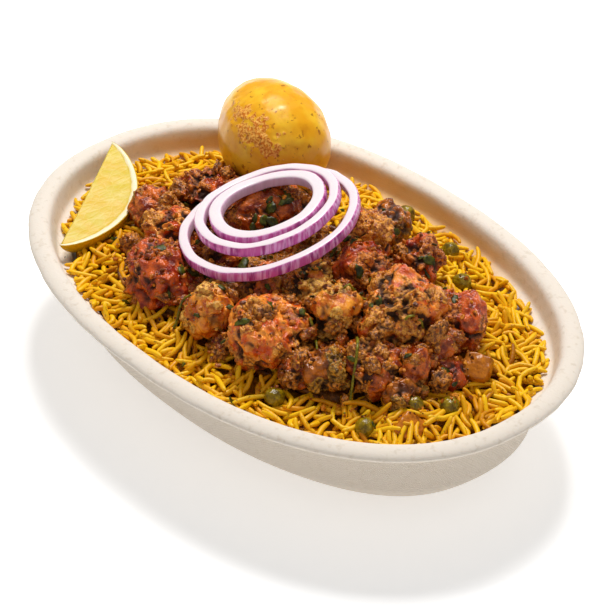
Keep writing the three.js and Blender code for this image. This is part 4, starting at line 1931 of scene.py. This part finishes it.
@dataclass
class Crumbs:
    """Clusters of masala between the chicken, and loose bits on all but the egg and lemon."""

    seed: int = 120
    on_bed: int = 5600
    on_rice: int = 420
    clusters: int = 230
    smallest: float = 0.28  # mm, half across
    largest: float = 0.95
    cluster_size: tuple = (1.6, 3.6)
    cluster_spread: float = 0.95  # of the bed's half size that the clusters are picked from
    cluster_edge: float = 0.86  # the square of how far out they lie, where 1 is the bed's edge
    bit_spread: float = 1.04  # of the bed's half size that the bits lie within
    field: tuple = (110, 75)  # mm, half the field that the bits on the rice are picked from
    inset: float = 17.0  # mm in from the rim's outline, where the bits end
    proud: float = 0.3  # the share of the bits on high places that stay
    deepest: float = 16.0  # mm under the rim
    bare: tuple = ("egg", "lemon_wedge")  # nodes that stay clean

    def build(self, ground: Terrain, bed: Node, rice: Rice) -> None:
        """Strews clusters of masala in the gaps between the chicken, then crumbs over all.

        Args:
            ground: the height of everything so far. The clusters and crumbs are added to it.
            bed: the masala's CAD node, round which they lie.
            rice: the heap, whose oval they keep to.
        """
        rng = np.random.default_rng(self.seed)
        half = (bed.high - bed.low)[:2] / 2
        xy = rng.uniform(-1, 1, (4 * self.clusters, 2)) * half * self.cluster_spread
        xy = xy + bed.centre[:2]
        xy = xy[(((xy - bed.centre[:2]) / half) ** 2).sum(1) < self.cluster_edge]
        xy = xy[ground.at(xy) > rice.bowl.height - self.deepest]
        xy = xy[np.argsort(-ground.dip(xy, 5))[:self.clusters]]
        size = rng.uniform(*self.cluster_size, len(xy))
        self._strewn("masala_clusters", rng, ground, xy, size, 7, 0.1)
        turn = rng.uniform(0, 2 * math.pi, self.on_bed)
        out = self.bit_spread * np.sqrt(rng.random(self.on_bed))[:, None]
        spread = out * np.stack([np.cos(turn), np.sin(turn)], 1) * half + bed.centre[:2]
        wide = rng.uniform(-1, 1, (self.on_rice, 2)) * np.array(self.field)
        xy = np.concatenate([spread, wide])
        keep = rice.inside(xy, self.inset) & (ground.at(xy) > rice.bowl.height - self.deepest)
        for node in map(Node, self.bare):
            keep &= ((xy < node.low[:2] - 1) | (xy > node.high[:2] + 1)).any(1)
        keep &= (ground.dip(xy, 2) > 0) | (rng.random(len(xy)) < self.proud)
        xy = xy[keep]
        size = self.smallest + (self.largest - self.smallest) * rng.random(len(xy)) ** 3
        fine = size < np.median(size)
        self._strewn("masala_crumbs_fine", rng, ground, xy[fine], size[fine], 1, 0.2)
        self._strewn("masala_crumbs_coarse", rng, ground, xy[~fine], size[~fine], 2, 0.2)

    def _strewn(
        self, name: str, rng: np.random.Generator, ground: Terrain, xy: Array, size: Array,
        steps: int, lift: float,
    ) -> None:
        """Makes one kind of bit. Each is a ball pushed in and out, stretched and turned.

        The finest balls are clusters: craggy, and finished like the chicken's coat.

        Args:
            name: the piece's name.
            rng: where the chances come from.
            ground: the height of everything so far, which the bits are added to.
            xy: where the bits lie.
            size: how big each is, half across.
            steps: how fine the balls are.
            lift: how far a bit's middle is over the ground, in its size.
        """
        ball, faces = ball_grid(steps)
        count = len(xy)
        stretch = rng.uniform(0.6, 1.4, (count, 3))
        craggy = steps > 3
        if craggy:
            spots = ball[None] * size[:, None, None] + rng.uniform(0, 900, (count, 1, 3))
            pits = grains_field(spots, 1.5, self.seed)
            rough = 1.35 - 0.75 * pits + 0.4 * cloud(spots, 2.4, 7)
        else:
            pits = np.zeros((count, len(ball)))
            rough = rng.uniform(0.62, 1.35, (count, len(ball)))
        turn = rng.uniform(0, math.pi, count)
        shape = ball[None] * stretch[:, None] * rough[..., None] * size[:, None, None]
        cosine, sine = np.cos(turn)[:, None], np.sin(turn)[:, None]
        x = shape[..., 0] * cosine - shape[..., 1] * sine
        y = shape[..., 0] * sine + shape[..., 1] * cosine
        centre = np.concatenate([xy, (ground.at(xy) + lift * size)[:, None]], 1)
        points = np.stack([x, y, shape[..., 2]], -1) + centre[:, None]
        all_faces = faces[None] + np.arange(count)[:, None, None] * len(ball)
        tone = np.repeat(rng.random(count), len(ball))
        # depth is low in the pits of a cluster, where its finish paints shade
        marks = {"tone": tone, "coat": 0.35 + 0.6 * tone, "depth": (0.95 - pits).ravel()}
        surface = Surface(points.reshape(-1, 3), all_faces.reshape(-1, 3), marks)
        finish = FriedFinish(Spice.BROWN) if craggy else CrumbFinish(name, BIT_STOPS)
        build_piece(name, surface, finish.material(), (), rounded=craggy)
        ground.add(surface.points)


@dataclass
class Herbs:
    """Torn coriander and mint leaf, and stems, fried dark green to brown."""

    seed: int = 150
    flakes: int = 150
    clumps: tuple = ((8, 35), (36, 30), (-20, 0), (-18, 9), (-14, 1), (-8, -38), (-46, 22))
    per_clump: int = 7
    clump_spread: float = 2.6  # mm
    leaf_thickness: float = 0.3  # mm
    leaf_size: tuple = (0.8, 2.6)  # mm, half across
    leaf_points: int = 9  # round its edge
    heights: tuple = (33, 64)  # mm, between which the flakes lie
    # Each stem as its start, its end and its radius in mm
    stems: tuple = (
        ((53.4, -22.1), (64.9, -37.9), 0.55), ((35.5, -27.4), (46.1, -33.8), 0.5),
        ((-8, -52), (-5.5, -46), 0.55), ((39, -15), (43, -8), 0.5),
        ((2, 32), (10, 36), 0.6), ((62, -8), (66, -3), 0.45),
    )
    stem_bow: float = 0.08  # of its length that a stem bows to one side
    stem_rows: int = 14
    stem_sides: int = 8

    def build(self, ground: Terrain, bed: Node) -> None:
        """Strews the flakes and lays the stems.

        Args:
            ground: the height of everything so far.
            bed: the masala's CAD node.
        """
        self._leaves(ground, bed)
        self._stems(ground)

    def _leaves(self, ground: Terrain, bed: Node) -> None:
        """Torn flakes: a disc r(a) with a ragged edge, cupped and laid on the ground's slope.

        Args:
            ground: the height of everything so far.
            bed: the masala's CAD node.
        """
        rng = np.random.default_rng(self.seed)
        half = (bed.high - bed.low)[:2] / 2
        xy = rng.normal(0, 0.5, (self.flakes, 2)).clip(-1.2, 1.2) * half + bed.centre[:2]
        tufts = np.repeat(np.array(self.clumps, float), self.per_clump, axis=0)
        xy = np.concatenate([xy, tufts + rng.normal(0, self.clump_spread, tufts.shape)])
        z = ground.at(xy)
        keep = (z > self.heights[0]) & (z < self.heights[1])
        xy, z = xy[keep], z[keep]
        count, spokes = len(xy), self.leaf_points
        a = np.arange(spokes) / spokes * 2 * math.pi
        size = rng.uniform(*self.leaf_size, count)
        edge = size[:, None] * rng.uniform(0.55, 1.3, (count, spokes))
        flat = np.stack([edge * np.cos(a) * 1.3, edge * np.sin(a) * 0.75], -1)
        cup = rng.uniform(-0.15, 0.2, count)[:, None] * edge
        normal = ground.slope(xy)
        turn = rng.uniform(0, 2 * math.pi, count)
        first = unit(np.cross(normal, np.stack([np.cos(turn), np.sin(turn), 0 * turn], -1)))
        second = np.cross(normal, first)
        centre = np.concatenate([xy, z[:, None]], 1) + normal * 0.35

        def layer(shrink: float, lift: float) -> Array:
            """The flake's outline at a share of its size and a height over its middle."""
            height = cup * shrink + lift
            return (
                centre[:, None] + flat[..., :1] * shrink * first[:, None]
                + flat[..., 1:] * shrink * second[:, None] + height[..., None] * normal[:, None]
            )

        t = self.leaf_thickness
        layers = ((0.5, -t / 2), (1, -t / 4), (1, t / 4), (0.5, t / 2))
        rows = np.stack([layer(shrink, lift) for shrink, lift in layers], 1)
        ends = np.stack([centre - normal * t / 2, centre + normal * t / 2], 1)
        points = np.concatenate([rows.reshape(count, -1, 3), ends], 1)
        faces = tube_faces(4, spokes)[None] + np.arange(count)[:, None, None] * points.shape[1]
        surface = Surface(points.reshape(-1, 3), faces.reshape(-1, 3), {})
        finish = VegetableFinish("herb_leaf", tint(86, 88, 8), tint(30, 34, 0), 0.3, 0.4)
        build_piece("herb_leaves", surface, finish.material(), ())

    def _stems(self, ground: Terrain) -> None:
        """Stems as thin tubes that follow the ground along gently bent lines.

        Args:
            ground: the height of everything so far.
        """
        t = np.linspace(0, 1, self.stem_rows)
        paths, radii = [], []
        for start, end, radius in self.stems:
            a, b = np.array(start, float), np.array(end, float)
            across = np.array([-(b - a)[1], (b - a)[0]]) * self.stem_bow
            xy = a + t[:, None] * (b - a) + np.sin(math.pi * t)[:, None] * across
            z = ground.at(xy)
            for _ in range(4):
                z[1:-1] = np.maximum(z[1:-1], (z[:-2] + z[2:]) / 2)
            paths.append(np.concatenate([xy, (z + 0.5 * radius)[:, None]], 1))
            radii.append(radius * (1 - 0.25 * t))
        points, faces = tubes(np.array(paths), np.array(radii), self.stem_sides)
        finish = VegetableFinish("herb_stem", tint(146, 136, 22), tint(84, 78, 6), 0.2, 0.4)
        build_piece("herb_stems", Surface(points, faces, {}), finish.material(), ())


# ---------------------------------------------------------------------------------------------
# Light and camera
# ---------------------------------------------------------------------------------------------


@dataclass
class Studio:
    """A white floor, a large soft light over the back, a weaker one at the front, white air."""

    floor_size: float = 6.0  # m
    key_watts: float = 15.8
    key_size: float = 0.4  # m
    key_place: tuple = (-0.38, 0.4, 1.15)  # m
    front_watts: float = 1.4
    front_size: float = 1.2
    front_place: tuple = (0.9, -0.35, 0.9)
    air: float = 0.3
    floor_glow: float = 0.43

    def build(self) -> None:
        """Makes the floor, the lights and the world."""
        half = self.floor_size / 2
        mesh = bpy.data.meshes.new("floor")
        corners = [(-half, -half, 0), (half, -half, 0), (half, half, 0), (-half, half, 0)]
        mesh.from_pydata(corners, [], [(0, 1, 2, 3)])
        g = Graph("floor")
        white = (0.93, 0.93, 0.93, 1)
        mesh.materials.append(g.surface(
            Base_Color=white, Roughness=0.9, Emission_Color=white,
            Emission_Strength=self.floor_glow,
        ))
        floor = bpy.data.objects.new("floor", mesh)
        bpy.context.scene.collection.objects.link(floor)
        self._light("key", self.key_watts, self.key_size, self.key_place)
        self._light("front", self.front_watts, self.front_size, self.front_place)
        world = bpy.data.worlds.new("air")
        world.use_nodes = True
        background = world.node_tree.nodes["Background"]
        background.inputs["Color"].default_value = (1, 1, 1, 1)
        background.inputs["Strength"].default_value = self.air
        bpy.context.scene.world = world
        bpy.context.scene.view_settings.view_transform = "Standard"

    def _light(self, name: str, watts: float, size: float, place: tuple) -> None:
        """Adds a square area light that faces the bowl.

        Args:
            name: the light's name.
            watts: its power.
            size: its side in m.
            place: where it hangs, in m.
        """
        data = bpy.data.lights.new(name, "AREA")
        data.energy, data.size = watts, size
        light = bpy.data.objects.new(name, data)
        away = unit(np.array(place))
        side = unit(np.cross([0, 0, 1], away))
        light.matrix_world = Matrix([
            (*row, p) for row, p in zip(np.stack([side, np.cross(away, side), away], 1), place)
        ] + [(0, 0, 0, 1)])
        bpy.context.scene.collection.objects.link(light)


@dataclass
class Camera:
    """Looks down on the bowl's front right, a little rolled."""

    azimuth: float = 46.55  # degrees from -Y towards +X
    elevation: float = 36.69
    roll: float = 1.77
    distance: float = 908.0  # mm
    target: tuple = (2.2, 1.6, 30.0)
    lens: float = 147.5
    sensor: float = 36.0

    def build(self) -> None:
        """Makes the camera and gives it to the scene."""
        az, el, roll = (math.radians(v) for v in (self.azimuth, self.elevation, self.roll))
        back = np.array([math.sin(az) * math.cos(el), -math.cos(az) * math.cos(el), math.sin(el)])
        right = unit(np.cross([0, 0, 1], back))
        up = np.cross(back, right)
        rolled_right = right * math.cos(roll) + up * math.sin(roll)
        rolled_up = up * math.cos(roll) - right * math.sin(roll)
        place = (np.array(self.target) + back * self.distance) * MM
        data = bpy.data.cameras.new("camera")
        data.lens, data.sensor_width = self.lens, self.sensor
        data.clip_start = 0.01
        camera = bpy.data.objects.new("camera", data)
        rows = np.stack([rolled_right, rolled_up, back, place], 1)
        camera.matrix_world = Matrix([tuple(row) for row in rows] + [(0, 0, 0, 1)])
        bpy.context.scene.collection.objects.link(camera)
        bpy.context.scene.camera = camera


def main() -> None:
    """Builds the bowl and everything in it, in the order in which it is filled."""
    logging.basicConfig(level=logging.INFO, format="%(name)s %(message)s")
    bowl = Bowl()
    shell = bowl.build()
    bed_surface = MasalaBed().build()
    standing = [*Chicken().build(), Egg().build(), Lemon().build(), *Vegetables().build()]
    OnionRings().build()
    ground = Terrain(bowl.half_length, bowl.half_width)
    for surface in (shell, bed_surface, *standing):
        ground.add(surface.points)
    ground.fill()
    rice = Rice(bowl)
    rice.build(ground)
    bed = Node("masala")
    Crumbs().build(ground, bed, rice)
    Herbs().build(ground, bed)
    Studio().build()
    Camera().build()


if __name__ == "__main__":
    main()
